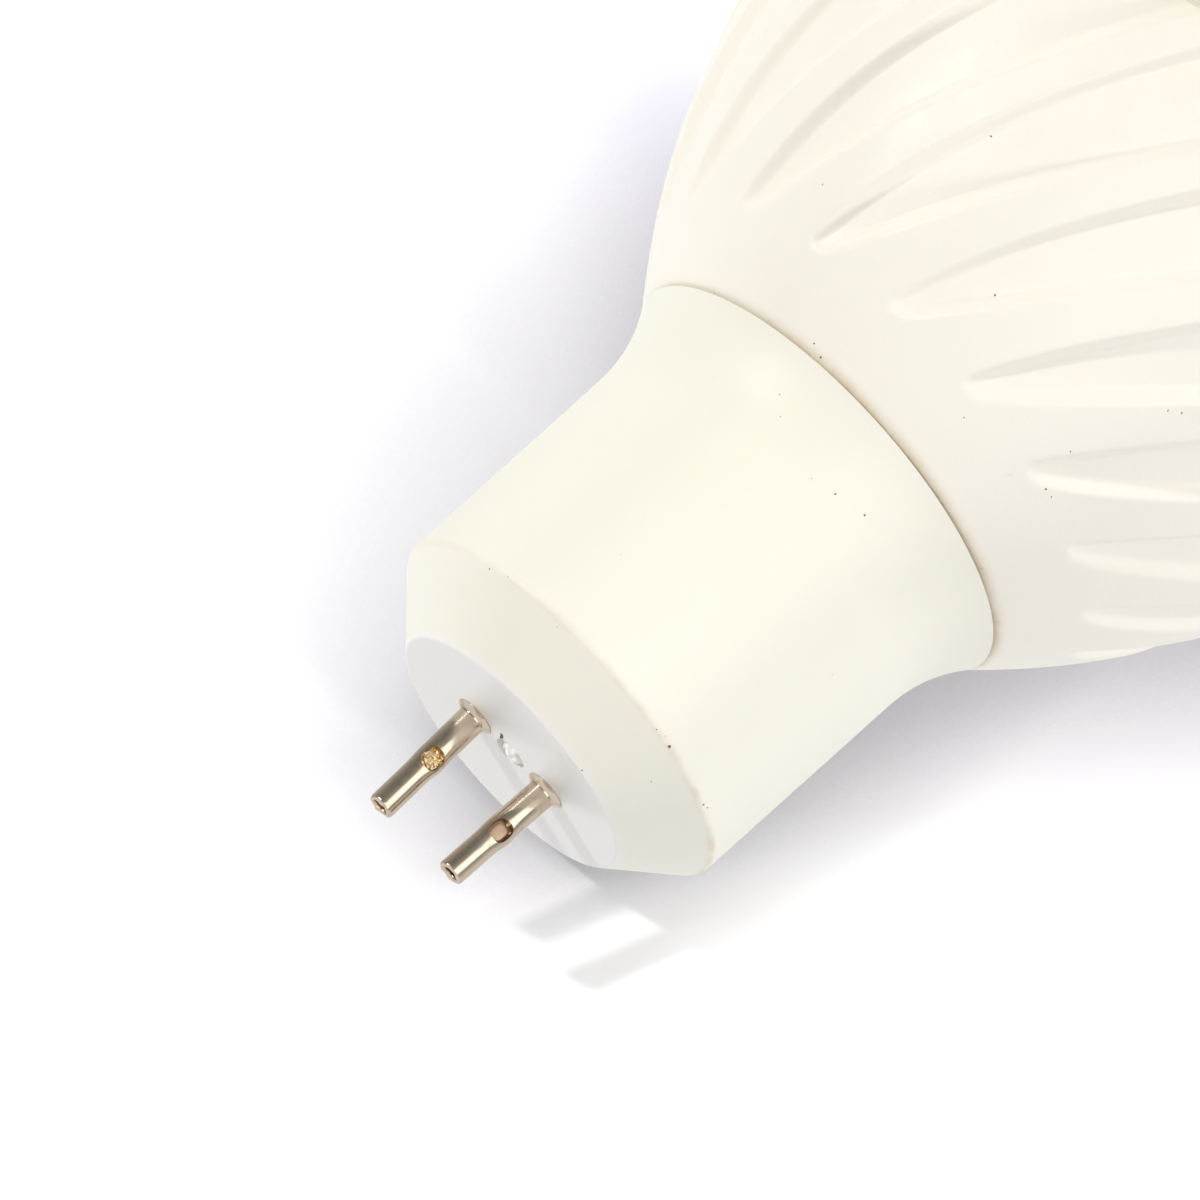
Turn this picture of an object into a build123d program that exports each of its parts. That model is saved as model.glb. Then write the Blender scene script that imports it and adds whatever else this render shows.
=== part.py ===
from build123d import *
import os
from math import acos, cos, degrees, exp, hypot, radians, sin, sqrt, tan

# A white LED spot lamp with a two-pin base, a plastic driver collar and a swirl-fluted heat sink.
# It stands on its front ring. Z runs along the lamp's axis, from the front face at Z = 0 up to the pins.
# X runs through both pins. Lengths are in millimetres and angles in degrees.

# Overall sizes
lamp_length = 51.0  # front face to the base's end face
front_radius = 25.0

# Contact pins
pin_pitch = 5.33
pin_length = 6.95
pin_radius = 0.79
pin_bore_radius = 0.42
pin_tip_radius = 0.73
pin_taper_length = 2.4
pin_tip_rounding = 0.2
pin_flange_radius = 1.18
pin_flange_height = 0.5
pin_tail = 1.2  # length inside the collar, past its end wall
pin_hole_clearance = 0.02
crimp_radius = 0.58
crimp_height = 3.36  # above the end face
crimp_heading = -105.0  # side of the pin that the crimp is on

# Base collar
collar_length = 22.6  # end face to the seam with the heat sink
collar_radius = 11.45
collar_draft = 0.1  # radius lost between the flare and the chamfer
collar_wall = 1.5
end_face_radius = 7.8
end_wall = 1.5
end_edge_rounding = 0.2
chamfer_height = 3.55
chamfer_edge_rounding = 0.4
flare_radius = 10.0
gate_radius = 1.0  # shallow recess left by the moulding gate
gate_depth = 0.3
seam_radius = 13.1
seam_gap = 0.1
spigot_length = 4.0
spigot_wall = 1.4
spigot_clearance = 0.1
boss_radius = 2.0
boss_height = 9.0
boss_sink = 0.25  # how far each boss runs into the collar's wall

# Heat sink
bell_curve_radius = 46.4
bell_wall = 1.9
bell_edge_rounding = 1.0
rim_set_in = 0.2  # rim inside the front ring's edge
rim_step = 0.75  # bell inside the rim
rim_wall = 1.9
rim_thickness = 3.0
rim_rounding = 0.5
neck_depth = 4.9  # seam down to the floor that carries the light source
floor_thickness = 2.5

# Flutes in the heat sink
flute_count = 18
flute_phase = 0.0  # turn of the first flute's top end from the pins' plane
flute_swirl = 25.0  # lean of a flute from the lamp's axis
flute_start = 3.7  # seam to the flute tips
flute_tip_width = 0.9  # widths are taken halfway up the walls
flute_full_width = 5.0
flute_spread = 6.0  # length over which a flute widens
flute_depth = 0.65
flute_run_in = 1.5  # length over which a flute deepens
flute_wall_slope = 1.4  # run of a wall for each millimetre of depth
flute_stations = 9

# Front
ring_thickness = 1.2
ring_width = 4.4
ring_rounding = 0.5
ring_spigot_wall = 0.75
ring_spigot_length = 1.3
mouth_clearance = 0.1
lens_thickness = 1.5
reflector_flange = 0.8
reflector_wall = 1.0
reflector_curve_radius = 30.0
reflector_ledge = 0.4  # ring's inner edge outside the reflector's mouth
reflector_foot_radius = 5.1
reflector_foot_height = 1.6
reflector_foot_wall = 0.9

# Light source
pad_thickness = 0.3
led_board_thickness = 1.2
led_board_clearance = 0.5
emitter_radius = 4.5
emitter_thickness = 0.7
emitter_rounding = 0.25

# Screws
screw_radius = 0.9
screw_clearance = 0.1
screw_head_radius = 1.7
screw_head_height = 1.2
collar_screw_length = 8.0
board_screw_length = 5.2
board_screw_count = 3
board_screw_edge = 2.6  # screw axis to the edge of the LED board
board_screw_phase = 60.0

# Driver board and its guides
board_thickness = 1.2
board_side_room = 1.3  # board edge to the collar's inner wall
board_top_room = 2.5  # pin tail to the board's top edge
board_foot_room = 1.4  # heat sink's floor to the board's bottom edge
guide_grip = 0.7
guide_wall = 1.0
guide_clearance = 0.1
guide_stop = 1.0
guide_length = 14.0

# Leads
input_lead_radius = 0.28
input_lead_bend = 1.0
input_lead_drop = 0.4  # straight run below the pin's tail
input_lead_overlap = 2.4  # length soldered along the board
output_lead_radius = 0.4
output_lead_bend = 0.9
output_lead_overlap = 3.0
output_lead_edge = 1.25  # lead to the board's side edge
output_lead_run = 3.0  # length lying on the LED board
lead_hole_clearance = 0.2
component_lead_radius = 0.25
component_lead_bend = 0.5

# Driver components
can_radius = 2.5
can_length = 11.0
can_groove_depth = 0.25
can_groove_height = 1.5
can_lead_pitch = 2.0
can_lead_drop = 1.2
can_x = -4.2
can_z = -3.0
film_size = (6.0, 7.0, 4.2)
film_rounding = 0.5
film_x = 3.8
film_z = 3.5
fuse_radius = 1.1
fuse_waist = 0.9
fuse_length = 4.4
fuse_cap = 0.9
fuse_lead_span = 6.6
fuse_lift = 0.3
fuse_x = -4.4
fuse_z = 6.2
choke_radius = 2.4
choke_waist = 1.9
choke_flange = 0.8
choke_height = 4.6
choke_x = 3.8
choke_z = -5.5
bridge_size = (3.9, 3.8, 2.3)
bridge_feet = 2
bridge_pitch = 2.5
bridge_x = -3.2
bridge_z = 8.0
chip_size = (3.9, 4.9, 1.5)
chip_feet = 4
chip_pitch = 1.27
chip_x = -2.8
chip_z = -5.5
diode_size = (4.3, 2.6, 2.1)
diode_feet = 1
diode_x = 3.4
diode_z = -5.2
foot_reach = 1.0
foot_width = 0.5
foot_thickness = 0.25
sense_size = (3.2, 1.6, 0.6)
sense_pitch = 4.0
sense_count = 3
sense_z = -9.2

# Transformer
core_size = (8.4, 8.0, 3.6)
core_leg = 2.0
core_yoke = 1.2
core_outer_leg = 1.45
bobbin_wall = 0.5
bobbin_flange = 0.5
bobbin_depth = 6.8
bobbin_clearance = 0.05
winding_margin = 0.2
winding_rounding = 0.8
transformer_z = 1.5

# Levels along the axis, from the front face up
rim_front_z = ring_thickness
rim_back_z = rim_front_z + rim_thickness
lens_back_z = ring_thickness + lens_thickness
shoulder_z = lens_back_z + reflector_flange
seam_z = lamp_length - collar_length
collar_foot_z = seam_z + seam_gap / 2
bell_top_z = seam_z - seam_gap / 2
floor_top_z = seam_z - neck_depth
floor_front_z = floor_top_z - floor_thickness
pad_front_z = floor_front_z - pad_thickness
led_front_z = pad_front_z - led_board_thickness
end_inner_z = lamp_length - end_wall
pin_tail_z = end_inner_z - pin_tail
board_top_z = pin_tail_z - board_top_room
board_foot_z = floor_top_z + board_foot_room
board_mid_z = (board_top_z + board_foot_z) / 2

# Radii and half widths that fit one piece to another
rim_radius = front_radius - rim_set_in
bell_mouth_radius = rim_radius - rim_step
mouth_radius = rim_radius - rim_wall
ring_inner_radius = front_radius - ring_width
reflector_mouth_radius = ring_inner_radius - reflector_ledge
collar_inner_radius = collar_radius - collar_wall
spigot_radius = collar_inner_radius + spigot_wall
neck_radius = spigot_radius + spigot_clearance
board_half_width = collar_inner_radius - board_side_room
board_face = board_thickness / 2
boss_offset = collar_inner_radius + boss_sink - boss_radius
screw_hole_radius = screw_radius + screw_clearance
lead_x = board_half_width - output_lead_edge
lead_y = board_face + output_lead_radius
floor_hole_radius = lead_y + output_lead_radius + lead_hole_clearance
led_hole_radius = floor_hole_radius + output_lead_bend / 2


def arc_centre(start, end, radius):
    """Centre, nearer the axis, of an arc that runs outwards and down from start to end."""
    first, last = Vector(*start), Vector(*end)
    chord = last - first
    inward = Vector(chord.Y, -chord.X).normalized()
    return (first + last) * 0.5 + inward * sqrt(radius**2 - chord.length**2 / 4)


bell_centre = arc_centre((seam_radius, bell_top_z), (bell_mouth_radius, rim_back_z), bell_curve_radius)


def bell_radius(z, inset=0.0):
    """Radius of the bell at a level, on its outside or on a surface set in from it."""
    return bell_centre.X + sqrt((bell_curve_radius - inset) ** 2 - (z - bell_centre.Y) ** 2)


led_board_radius = bell_radius(floor_front_z, bell_wall) - led_board_clearance
board_screw_circle = led_board_radius - board_screw_edge


def radial_plane(x=0.0, y=0.0):
    """Plane for a turned profile: its first axis is the radius and its second is the level."""
    return Plane(origin=(x, y, 0), x_dir=(1, 0, 0), z_dir=(0, -1, 0))


def face_plane(side, x, z):
    """Plane on one face of the driver board, facing away from it, at a place from the board's middle."""
    return Plane(origin=(x, side * board_face, board_mid_z + z), x_dir=(1, 0, 0), z_dir=(0, side, 0))


def make_wire(points, radius, bend):
    """Round wire along straight runs joined by tangent arcs."""
    with BuildPart() as wire:
        with BuildLine() as route:
            FilletPolyline(*points, radius=bend)
        with BuildSketch(Plane(origin=route.line @ 0, z_dir=route.line % 0)):
            Circle(radius)
        sweep()
    return wire.part


# Base collar: one moulding with a chamfered end, a drafted wall and a flared foot over its spigot
flare_turn = acos(1 - (seam_radius - collar_radius) / flare_radius)
flare_top_z = collar_foot_z + flare_radius * sin(flare_turn)
flare_middle = (
    collar_radius + flare_radius * (1 - cos(flare_turn / 2)),
    flare_top_z - flare_radius * sin(flare_turn / 2),
)
chamfer_z = lamp_length - chamfer_height
chamfer_radius = collar_radius - collar_draft
spigot_foot_z = collar_foot_z - spigot_length
cone_slope = (chamfer_radius - end_face_radius) / chamfer_height
cone_set_in = collar_wall * sqrt(1 + cone_slope**2)
inner_cone_radius = end_face_radius + cone_slope * end_wall - cone_set_in
inner_cone_z = end_inner_z - (collar_inner_radius - inner_cone_radius) / cone_slope

with BuildPart() as base_collar:
    with BuildSketch(radial_plane()) as collar_profile:
        with BuildLine():
            foot = Polyline(
                (collar_inner_radius, spigot_foot_z),
                (spigot_radius, spigot_foot_z),
                (spigot_radius, collar_foot_z),
                (seam_radius, collar_foot_z),
            )
            flare = ThreePointArc(foot @ 1, flare_middle, (collar_radius, flare_top_z))
            wall = Polyline(
                flare @ 1,
                (chamfer_radius, chamfer_z),
                (end_face_radius, lamp_length),
                (0, lamp_length),
                (0, end_inner_z),
                (inner_cone_radius, end_inner_z),
                (collar_inner_radius, inner_cone_z),
                foot @ 0,
            )
        make_face()
        end_corner = collar_profile.vertices().group_by(Axis.Y)[-1].sort_by(Axis.X)[-1]
        fillet(end_corner, end_edge_rounding)
        chamfer_corner = collar_profile.vertices().sort_by_distance((chamfer_radius, chamfer_z, 0))[0]
        fillet(chamfer_corner, chamfer_edge_rounding)
    revolve(axis=Axis.Z)

    # Screw bosses that stand on the heat sink's floor
    with BuildSketch(Plane.XY.offset(floor_top_z)):
        with Locations((0, boss_offset), (0, -boss_offset)):
            Circle(boss_radius)
    extrude(amount=boss_height)
    with BuildSketch(Plane.XY.offset(floor_top_z)):
        with Locations((0, boss_offset), (0, -boss_offset)):
            Circle(screw_hole_radius)
    extrude(amount=boss_height, mode=Mode.SUBTRACT)

    # Guides that grip the driver board's side edges, closed at the top by a stop
    guide_inner = board_half_width - guide_grip
    guide_outer = collar_inner_radius + boss_sink
    guide_half = board_face + guide_clearance
    with BuildSketch(Plane.XY.offset(board_top_z - guide_length)):
        for side in (1, -1):
            with Locations((side * (guide_inner + guide_outer) / 2, 0)):
                Rectangle(guide_outer - guide_inner, 2 * (guide_half + guide_wall))
            with Locations((side * guide_inner, 0)):
                Rectangle(
                    2 * (board_half_width + guide_clearance - guide_inner),
                    2 * guide_half,
                    mode=Mode.SUBTRACT,
                )
    extrude(amount=guide_length)
    with BuildSketch(Plane.XY.offset(board_top_z)):
        for side in (1, -1):
            with Locations((side * (guide_inner + guide_outer) / 2, 0)):
                Rectangle(guide_outer - guide_inner, 2 * (guide_half + guide_wall))
    extrude(amount=guide_stop)

    # Pin holes and the gate recess in the end face
    with BuildSketch(Plane.XY.offset(end_inner_z)):
        with Locations((pin_pitch / 2, 0), (-pin_pitch / 2, 0)):
            Circle(pin_radius + pin_hole_clearance)
    extrude(amount=end_wall, mode=Mode.SUBTRACT)
    with BuildSketch(Plane.XY.offset(lamp_length)):
        Circle(gate_radius)
    extrude(amount=-gate_depth, mode=Mode.SUBTRACT)


# One flute as a cutter: sections that turn, widen and deepen on the way from the tip to the rim
flute_tip_z = seam_z - flute_start
flute_end_z = rim_back_z - rim_thickness / 4
flute_lead_in = flute_run_in / 2
flute_step = (flute_tip_z + flute_lead_in - flute_end_z) / (flute_stations - 1)

with BuildPart() as flute:
    turn = flute_phase
    for station in range(flute_stations):
        level = flute_tip_z + flute_lead_in - station * flute_step
        run = flute_tip_z - level
        outside = bell_radius(level)
        depth = flute_depth * (1 - exp(-run / flute_run_in))
        reach = flute_depth - depth / 2
        wall_run = flute_wall_slope * depth / 2
        wall_reach = flute_wall_slope * (reach + depth / 2)
        widening = 1 - exp(-max(run, 0) / flute_spread)
        width = flute_tip_width + (flute_full_width - flute_tip_width) * widening
        with BuildSketch(Plane.XY.offset(level).rotated((0, 0, turn))):
            with BuildLine():
                Polyline(
                    (outside - depth, width / 2 - wall_run),
                    (outside + reach, width / 2 + wall_reach),
                    (outside + reach, -width / 2 - wall_reach),
                    (outside - depth, -width / 2 + wall_run),
                    close=True,
                )
            make_face()
        next_outside = bell_radius(level - flute_step)
        climb = hypot(flute_step, next_outside - outside)
        turn -= degrees(tan(radians(flute_swirl)) * 2 * climb / (outside + next_outside))
    loft()


# Heat sink: one casting with a bell, a floor for the light source, a neck for the collar and a front rim
bell_middle_z = (bell_top_z + rim_back_z) / 2
cavity_middle_z = (floor_front_z + shoulder_z) / 2

with BuildPart() as heat_sink:
    with BuildSketch(radial_plane()) as bell_profile:
        with BuildLine():
            neck = Line((neck_radius, bell_top_z), (seam_radius, bell_top_z))
            bell = ThreePointArc(
                neck @ 1,
                (bell_radius(bell_middle_z), bell_middle_z),
                (bell_mouth_radius, rim_back_z),
            )
            mouth = Polyline(
                bell @ 1,
                (bell_mouth_radius, rim_front_z),
                (mouth_radius, rim_front_z),
                (mouth_radius, shoulder_z),
                (bell_radius(shoulder_z, bell_wall), shoulder_z),
            )
            cavity = ThreePointArc(
                mouth @ 1,
                (bell_radius(cavity_middle_z, bell_wall), cavity_middle_z),
                (bell_radius(floor_front_z, bell_wall), floor_front_z),
            )
            Polyline(
                cavity @ 1,
                (0, floor_front_z),
                (0, floor_top_z),
                (neck_radius, floor_top_z),
                neck @ 0,
            )
        make_face()
        top_corner = bell_profile.vertices().group_by(Axis.Y)[-1].sort_by(Axis.X)[-1]
        fillet(top_corner, bell_edge_rounding)
    revolve(axis=Axis.Z)
    with PolarLocations(0, flute_count):
        add(flute.part, mode=Mode.SUBTRACT)

    # Front rim, which closes the lower ends of the flutes
    with BuildSketch(radial_plane()) as rim_profile:
        with BuildLine():
            Polyline(
                (mouth_radius, rim_front_z),
                (rim_radius, rim_front_z),
                (rim_radius, rim_back_z),
                (mouth_radius, rim_back_z),
                close=True,
            )
        make_face()
        fillet(rim_profile.vertices().group_by(Axis.X)[-1].sort_by(Axis.Y)[-1], rim_rounding)
    revolve(axis=Axis.Z)

    # Counterbored holes for the collar screws, a hole for the output leads and blind board screw holes
    with BuildSketch(Plane.XY.offset(floor_front_z)):
        with Locations((0, boss_offset), (0, -boss_offset)):
            Circle(screw_hole_radius)
        with Locations((lead_x, 0)):
            Circle(floor_hole_radius)
    extrude(amount=floor_thickness, mode=Mode.SUBTRACT)
    with BuildSketch(Plane.XY.offset(floor_front_z)):
        with Locations((0, boss_offset), (0, -boss_offset)):
            Circle(screw_head_radius + screw_clearance)
    extrude(amount=screw_head_height + screw_clearance, mode=Mode.SUBTRACT)
    with BuildSketch(Plane.XY.offset(floor_front_z)):
        with PolarLocations(board_screw_circle, board_screw_count, start_angle=board_screw_phase):
            Circle(screw_hole_radius)
    extrude(
        amount=board_screw_length - pad_thickness - led_board_thickness + screw_clearance,
        mode=Mode.SUBTRACT,
    )


def make_pin(x):
    """Hollow contact pin with a flange on the end face, a crimp hole and a rolled, open tip."""
    tip_z = lamp_length + pin_length
    crimp_side = (cos(radians(crimp_heading)), sin(radians(crimp_heading)), 0)
    with BuildPart() as pin:
        with BuildSketch(radial_plane(x)) as profile:
            with BuildLine():
                Polyline(
                    (pin_bore_radius, pin_tail_z),
                    (pin_radius, pin_tail_z),
                    (pin_radius, lamp_length),
                    (pin_flange_radius, lamp_length),
                    (pin_radius, lamp_length + pin_flange_height),
                    (pin_radius, tip_z - pin_taper_length),
                    (pin_tip_radius, tip_z),
                    (pin_bore_radius, tip_z),
                    close=True,
                )
            make_face()
            fillet(profile.vertices().group_by(Axis.Y)[-1].sort_by(Axis.X)[-1], pin_tip_rounding)
        revolve(axis=Axis((x, 0, 0), (0, 0, 1)))
        with BuildSketch(Plane(origin=(x, 0, lamp_length + crimp_height), z_dir=crimp_side)):
            Circle(crimp_radius)
        extrude(amount=2 * pin_radius, mode=Mode.SUBTRACT)
    return pin.part


# Driver board, upright between the guides
with BuildPart() as driver_board:
    with BuildSketch(Plane(origin=(0, 0, board_mid_z), x_dir=(1, 0, 0), z_dir=(0, -1, 0))):
        Rectangle(2 * board_half_width, board_top_z - board_foot_z)
    extrude(amount=board_face, both=True)


def make_input_lead(x):
    """Lead that is crimped in a pin, leaves its tail and steps over onto the driver board's face."""
    face_y = board_face + input_lead_radius
    points = (
        (x, 0, lamp_length + crimp_height + crimp_radius),
        (x, 0, pin_tail_z - input_lead_drop),
        (x, face_y, board_top_z + 2 * input_lead_radius),
        (x, face_y, board_top_z - input_lead_overlap),
    )
    return make_wire(points, input_lead_radius, input_lead_bend)


def make_output_lead(side):
    """Lead from one face of the driver board, through the floor, to a pad on the LED board."""
    pad_z = led_front_z - output_lead_radius
    points = (
        (lead_x, side * lead_y, board_foot_z + output_lead_overlap),
        (lead_x, side * lead_y, pad_z),
        (lead_x, side * (lead_y + output_lead_run), pad_z),
    )
    return make_wire(points, output_lead_radius, output_lead_bend)


# Electrolytic capacitor, lying along the board with its leads bent into it
can_centre_y = board_face + can_radius
can_foot_z = board_mid_z + can_z - can_length / 2

with BuildPart() as filter_capacitor:
    with BuildSketch(radial_plane(can_x, can_centre_y)):
        with BuildLine():
            can_side = Polyline(
                (0, can_foot_z),
                (can_radius, can_foot_z),
                (can_radius, can_foot_z + can_groove_height - 2 * can_groove_depth),
            )
            can_groove = ThreePointArc(
                can_side @ 1,
                (can_radius - can_groove_depth, can_foot_z + can_groove_height),
                (can_radius, can_foot_z + can_groove_height + 2 * can_groove_depth),
            )
            Polyline(
                can_groove @ 1,
                (can_radius, can_foot_z + can_length),
                (0, can_foot_z + can_length),
                (0, can_foot_z),
            )
        make_face()
    revolve(axis=Axis((can_x, can_centre_y, 0), (0, 0, 1)))
    for lead_side in (1, -1):
        can_lead_x = can_x + lead_side * can_lead_pitch / 2
        can_lead_points = (
            (can_lead_x, can_centre_y, can_foot_z + component_lead_radius),
            (can_lead_x, can_centre_y, can_foot_z - can_lead_drop),
            (can_lead_x, board_face, can_foot_z - can_lead_drop),
        )
        add(make_wire(can_lead_points, component_lead_radius, component_lead_bend))

# Film capacitor, a moulded block on the board's face
with BuildPart() as film_capacitor:
    with BuildSketch(face_plane(1, film_x, film_z)):
        RectangleRounded(film_size[0], film_size[1], film_rounding)
    extrude(amount=film_size[2])
    fillet(film_capacitor.faces().sort_by(Axis.Y)[-1].edges(), film_rounding)

# Fuse resistor: a barrel with raised ends on a wire bent down to the board
fuse_centre_y = board_face + fuse_radius + fuse_lift
fuse_low_z = board_mid_z + fuse_z - fuse_length / 2
fuse_high_z = fuse_low_z + fuse_length

with BuildPart() as fuse_resistor:
    with BuildSketch(radial_plane(fuse_x, fuse_centre_y)):
        with BuildLine():
            Polyline(
                (0, fuse_low_z),
                (fuse_radius, fuse_low_z),
                (fuse_radius, fuse_low_z + fuse_cap),
                (fuse_waist, fuse_low_z + fuse_cap + fuse_radius - fuse_waist),
                (fuse_waist, fuse_high_z - fuse_cap - fuse_radius + fuse_waist),
                (fuse_radius, fuse_high_z - fuse_cap),
                (fuse_radius, fuse_high_z),
                (0, fuse_high_z),
                close=True,
            )
        make_face()
    revolve(axis=Axis((fuse_x, fuse_centre_y, 0), (0, 0, 1)))
    for lead_side in (1, -1):
        fuse_lead_z = board_mid_z + fuse_z + lead_side * fuse_lead_span / 2
        fuse_lead_points = (
            (fuse_x, board_face, fuse_lead_z),
            (fuse_x, fuse_centre_y, fuse_lead_z),
            (fuse_x, fuse_centre_y, board_mid_z + fuse_z + lead_side * fuse_length / 4),
        )
        add(make_wire(fuse_lead_points, component_lead_radius, component_lead_bend))

# Damping choke: a wound drum that stands on the board
with BuildPart() as damping_choke:
    choke_plane = face_plane(1, choke_x, choke_z)
    with BuildSketch(choke_plane):
        Circle(choke_waist)
    extrude(amount=choke_height)
    for flange_lift in (0, choke_height - choke_flange):
        with BuildSketch(choke_plane.offset(flange_lift)):
            Circle(choke_radius)
        extrude(amount=choke_flange)


def make_package(size, x, z, rows, pitch=0.0):
    """Moulded package on the board's rear face, with rows of feet on its two sides."""
    width, length, height = size
    plane = face_plane(-1, x, z)
    with BuildPart() as package:
        with BuildSketch(plane.offset(foot_thickness / 2)):
            Rectangle(width, length)
        extrude(amount=height)
        for foot_side in (1, -1):
            with BuildSketch(plane):
                with Locations((foot_side * width / 2, 0)):
                    with GridLocations(0, pitch, 1, rows):
                        Rectangle(2 * foot_reach, foot_width)
            extrude(amount=foot_thickness)
            with BuildSketch(plane):
                with Locations((foot_side * width / 2, 0)):
                    with GridLocations(0, pitch, 1, rows):
                        Rectangle(foot_reach, foot_width)
            extrude(amount=height / 2)
    return package.part


# Sense resistors: a row of small chips along the board's lower edge
with BuildPart() as sense_resistors:
    with BuildSketch(face_plane(-1, 0, sense_z)):
        with GridLocations(sense_pitch, 0, sense_count, 1):
            Rectangle(sense_size[0], sense_size[1])
    extrude(amount=sense_size[2])


# Transformer: a bobbin seated on the board, its winding, and a core through and around both
bobbin_hole = (core_leg + 2 * bobbin_clearance, core_size[2] + 2 * bobbin_clearance)
bobbin_tube = (bobbin_hole[0] + 2 * bobbin_wall, bobbin_hole[1] + 2 * bobbin_wall)
window_width = (core_size[0] - core_leg) / 2 - core_outer_leg
window_height = core_size[1] - 2 * core_yoke
bobbin_width = core_leg + 2 * (window_width - bobbin_clearance)
bobbin_height = window_height - 2 * bobbin_clearance
transformer_y = -board_face - bobbin_depth / 2
transformer_mid_z = board_mid_z + transformer_z
bobbin_foot_z = transformer_mid_z - bobbin_height / 2

with BuildPart() as transformer_core:
    core_plane = Plane(origin=(0, transformer_y, transformer_mid_z), x_dir=(1, 0, 0), z_dir=(0, -1, 0))
    with BuildSketch(core_plane):
        Rectangle(core_size[0], core_size[1])
        with GridLocations(core_leg + window_width, 0, 2, 1):
            Rectangle(window_width, window_height, mode=Mode.SUBTRACT)
    extrude(amount=core_size[2] / 2, both=True)

with BuildPart() as transformer_bobbin:
    bobbin_plane = Plane(origin=(0, transformer_y, bobbin_foot_z))
    with BuildSketch(bobbin_plane):
        Rectangle(*bobbin_tube)
    extrude(amount=bobbin_height)
    for flange_lift in (0, bobbin_height - bobbin_flange):
        with BuildSketch(bobbin_plane.offset(flange_lift)):
            Rectangle(bobbin_width, bobbin_depth)
        extrude(amount=bobbin_flange)
    with BuildSketch(bobbin_plane):
        Rectangle(*bobbin_hole)
    extrude(amount=bobbin_height, mode=Mode.SUBTRACT)

with BuildPart() as transformer_winding:
    with BuildSketch(bobbin_plane.offset(bobbin_flange + bobbin_clearance)):
        RectangleRounded(bobbin_width - winding_margin, bobbin_depth - 2 * winding_margin, winding_rounding)
        Rectangle(
            bobbin_tube[0] + bobbin_clearance,
            bobbin_tube[1] + bobbin_clearance,
            mode=Mode.SUBTRACT,
        )
    extrude(amount=bobbin_height - 2 * (bobbin_flange + bobbin_clearance))


def make_disc(foot_z, radius, thickness, lead_hole):
    """Round sheet under the heat sink's floor, with holes for the board screws and the output leads."""
    with BuildPart() as disc:
        with BuildSketch(Plane.XY.offset(foot_z)):
            Circle(radius)
            with PolarLocations(board_screw_circle, board_screw_count, start_angle=board_screw_phase):
                Circle(screw_hole_radius, mode=Mode.SUBTRACT)
            with Locations((lead_x, 0)):
                Circle(lead_hole, mode=Mode.SUBTRACT)
        extrude(amount=thickness)
    return disc.part


# LED emitter: one round light source on the board's front
with BuildPart() as led_emitter:
    with BuildSketch(Plane.XY.offset(led_front_z)):
        Circle(emitter_radius)
    extrude(amount=-emitter_thickness)
    fillet(led_emitter.faces().sort_by(Axis.Z)[0].edges(), emitter_rounding)

# Screws: the board screws hold the LED board, and the collar screws hold the collar's bosses
with BuildPart() as board_screws:
    screw_places = PolarLocations(board_screw_circle, board_screw_count, start_angle=board_screw_phase)
    with BuildSketch(Plane.XY.offset(led_front_z)):
        with screw_places:
            Circle(screw_head_radius)
    extrude(amount=-screw_head_height)
    with BuildSketch(Plane.XY.offset(led_front_z)):
        with screw_places:
            Circle(screw_radius)
    extrude(amount=board_screw_length)

collar_seat_z = floor_front_z + screw_head_height + screw_clearance

with BuildPart() as collar_screws:
    with BuildSketch(Plane.XY.offset(collar_seat_z)):
        with Locations((0, boss_offset), (0, -boss_offset)):
            Circle(screw_head_radius)
    extrude(amount=-screw_head_height)
    with BuildSketch(Plane.XY.offset(collar_seat_z)):
        with Locations((0, boss_offset), (0, -boss_offset)):
            Circle(screw_radius)
    extrude(amount=collar_screw_length)

# Reflector: a curved cup that stands on the LED board and is held by its flange at the mouth
neck_z = led_front_z - reflector_foot_height
cup_centre = arc_centre(
    (reflector_foot_radius, neck_z),
    (reflector_mouth_radius, lens_back_z),
    reflector_curve_radius,
)
cup_outer_curve = reflector_curve_radius + reflector_wall
foot_outer_radius = reflector_foot_radius + reflector_foot_wall


def cup_level(radius, curve):
    """Level of the cup's inner or outer face at a radius."""
    return cup_centre.Y + sqrt(curve**2 - (radius - cup_centre.X) ** 2)


cup_middle_radius = (reflector_foot_radius + reflector_mouth_radius) / 2
cup_flange_radius = cup_centre.X + sqrt(cup_outer_curve**2 - (shoulder_z - cup_centre.Y) ** 2)

with BuildPart() as reflector:
    with BuildSketch(radial_plane()):
        with BuildLine():
            inside = ThreePointArc(
                (reflector_foot_radius, neck_z),
                (cup_middle_radius, cup_level(cup_middle_radius, reflector_curve_radius)),
                (reflector_mouth_radius, lens_back_z),
            )
            flange = Polyline(
                inside @ 1,
                (mouth_radius - mouth_clearance, lens_back_z),
                (mouth_radius - mouth_clearance, shoulder_z),
                (cup_flange_radius, shoulder_z),
            )
            outside_curve = ThreePointArc(
                flange @ 1,
                (cup_middle_radius, cup_level(cup_middle_radius, cup_outer_curve)),
                (foot_outer_radius, cup_level(foot_outer_radius, cup_outer_curve)),
            )
            Polyline(
                outside_curve @ 1,
                (foot_outer_radius, led_front_z),
                (reflector_foot_radius, led_front_z),
                inside @ 0,
            )
        make_face()
    revolve(axis=Axis.Z)

# Front ring with its spigot, and the clear lens inside it
ring_spigot_radius = mouth_radius - mouth_clearance
lens_radius = ring_spigot_radius - ring_spigot_wall - mouth_clearance

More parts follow.
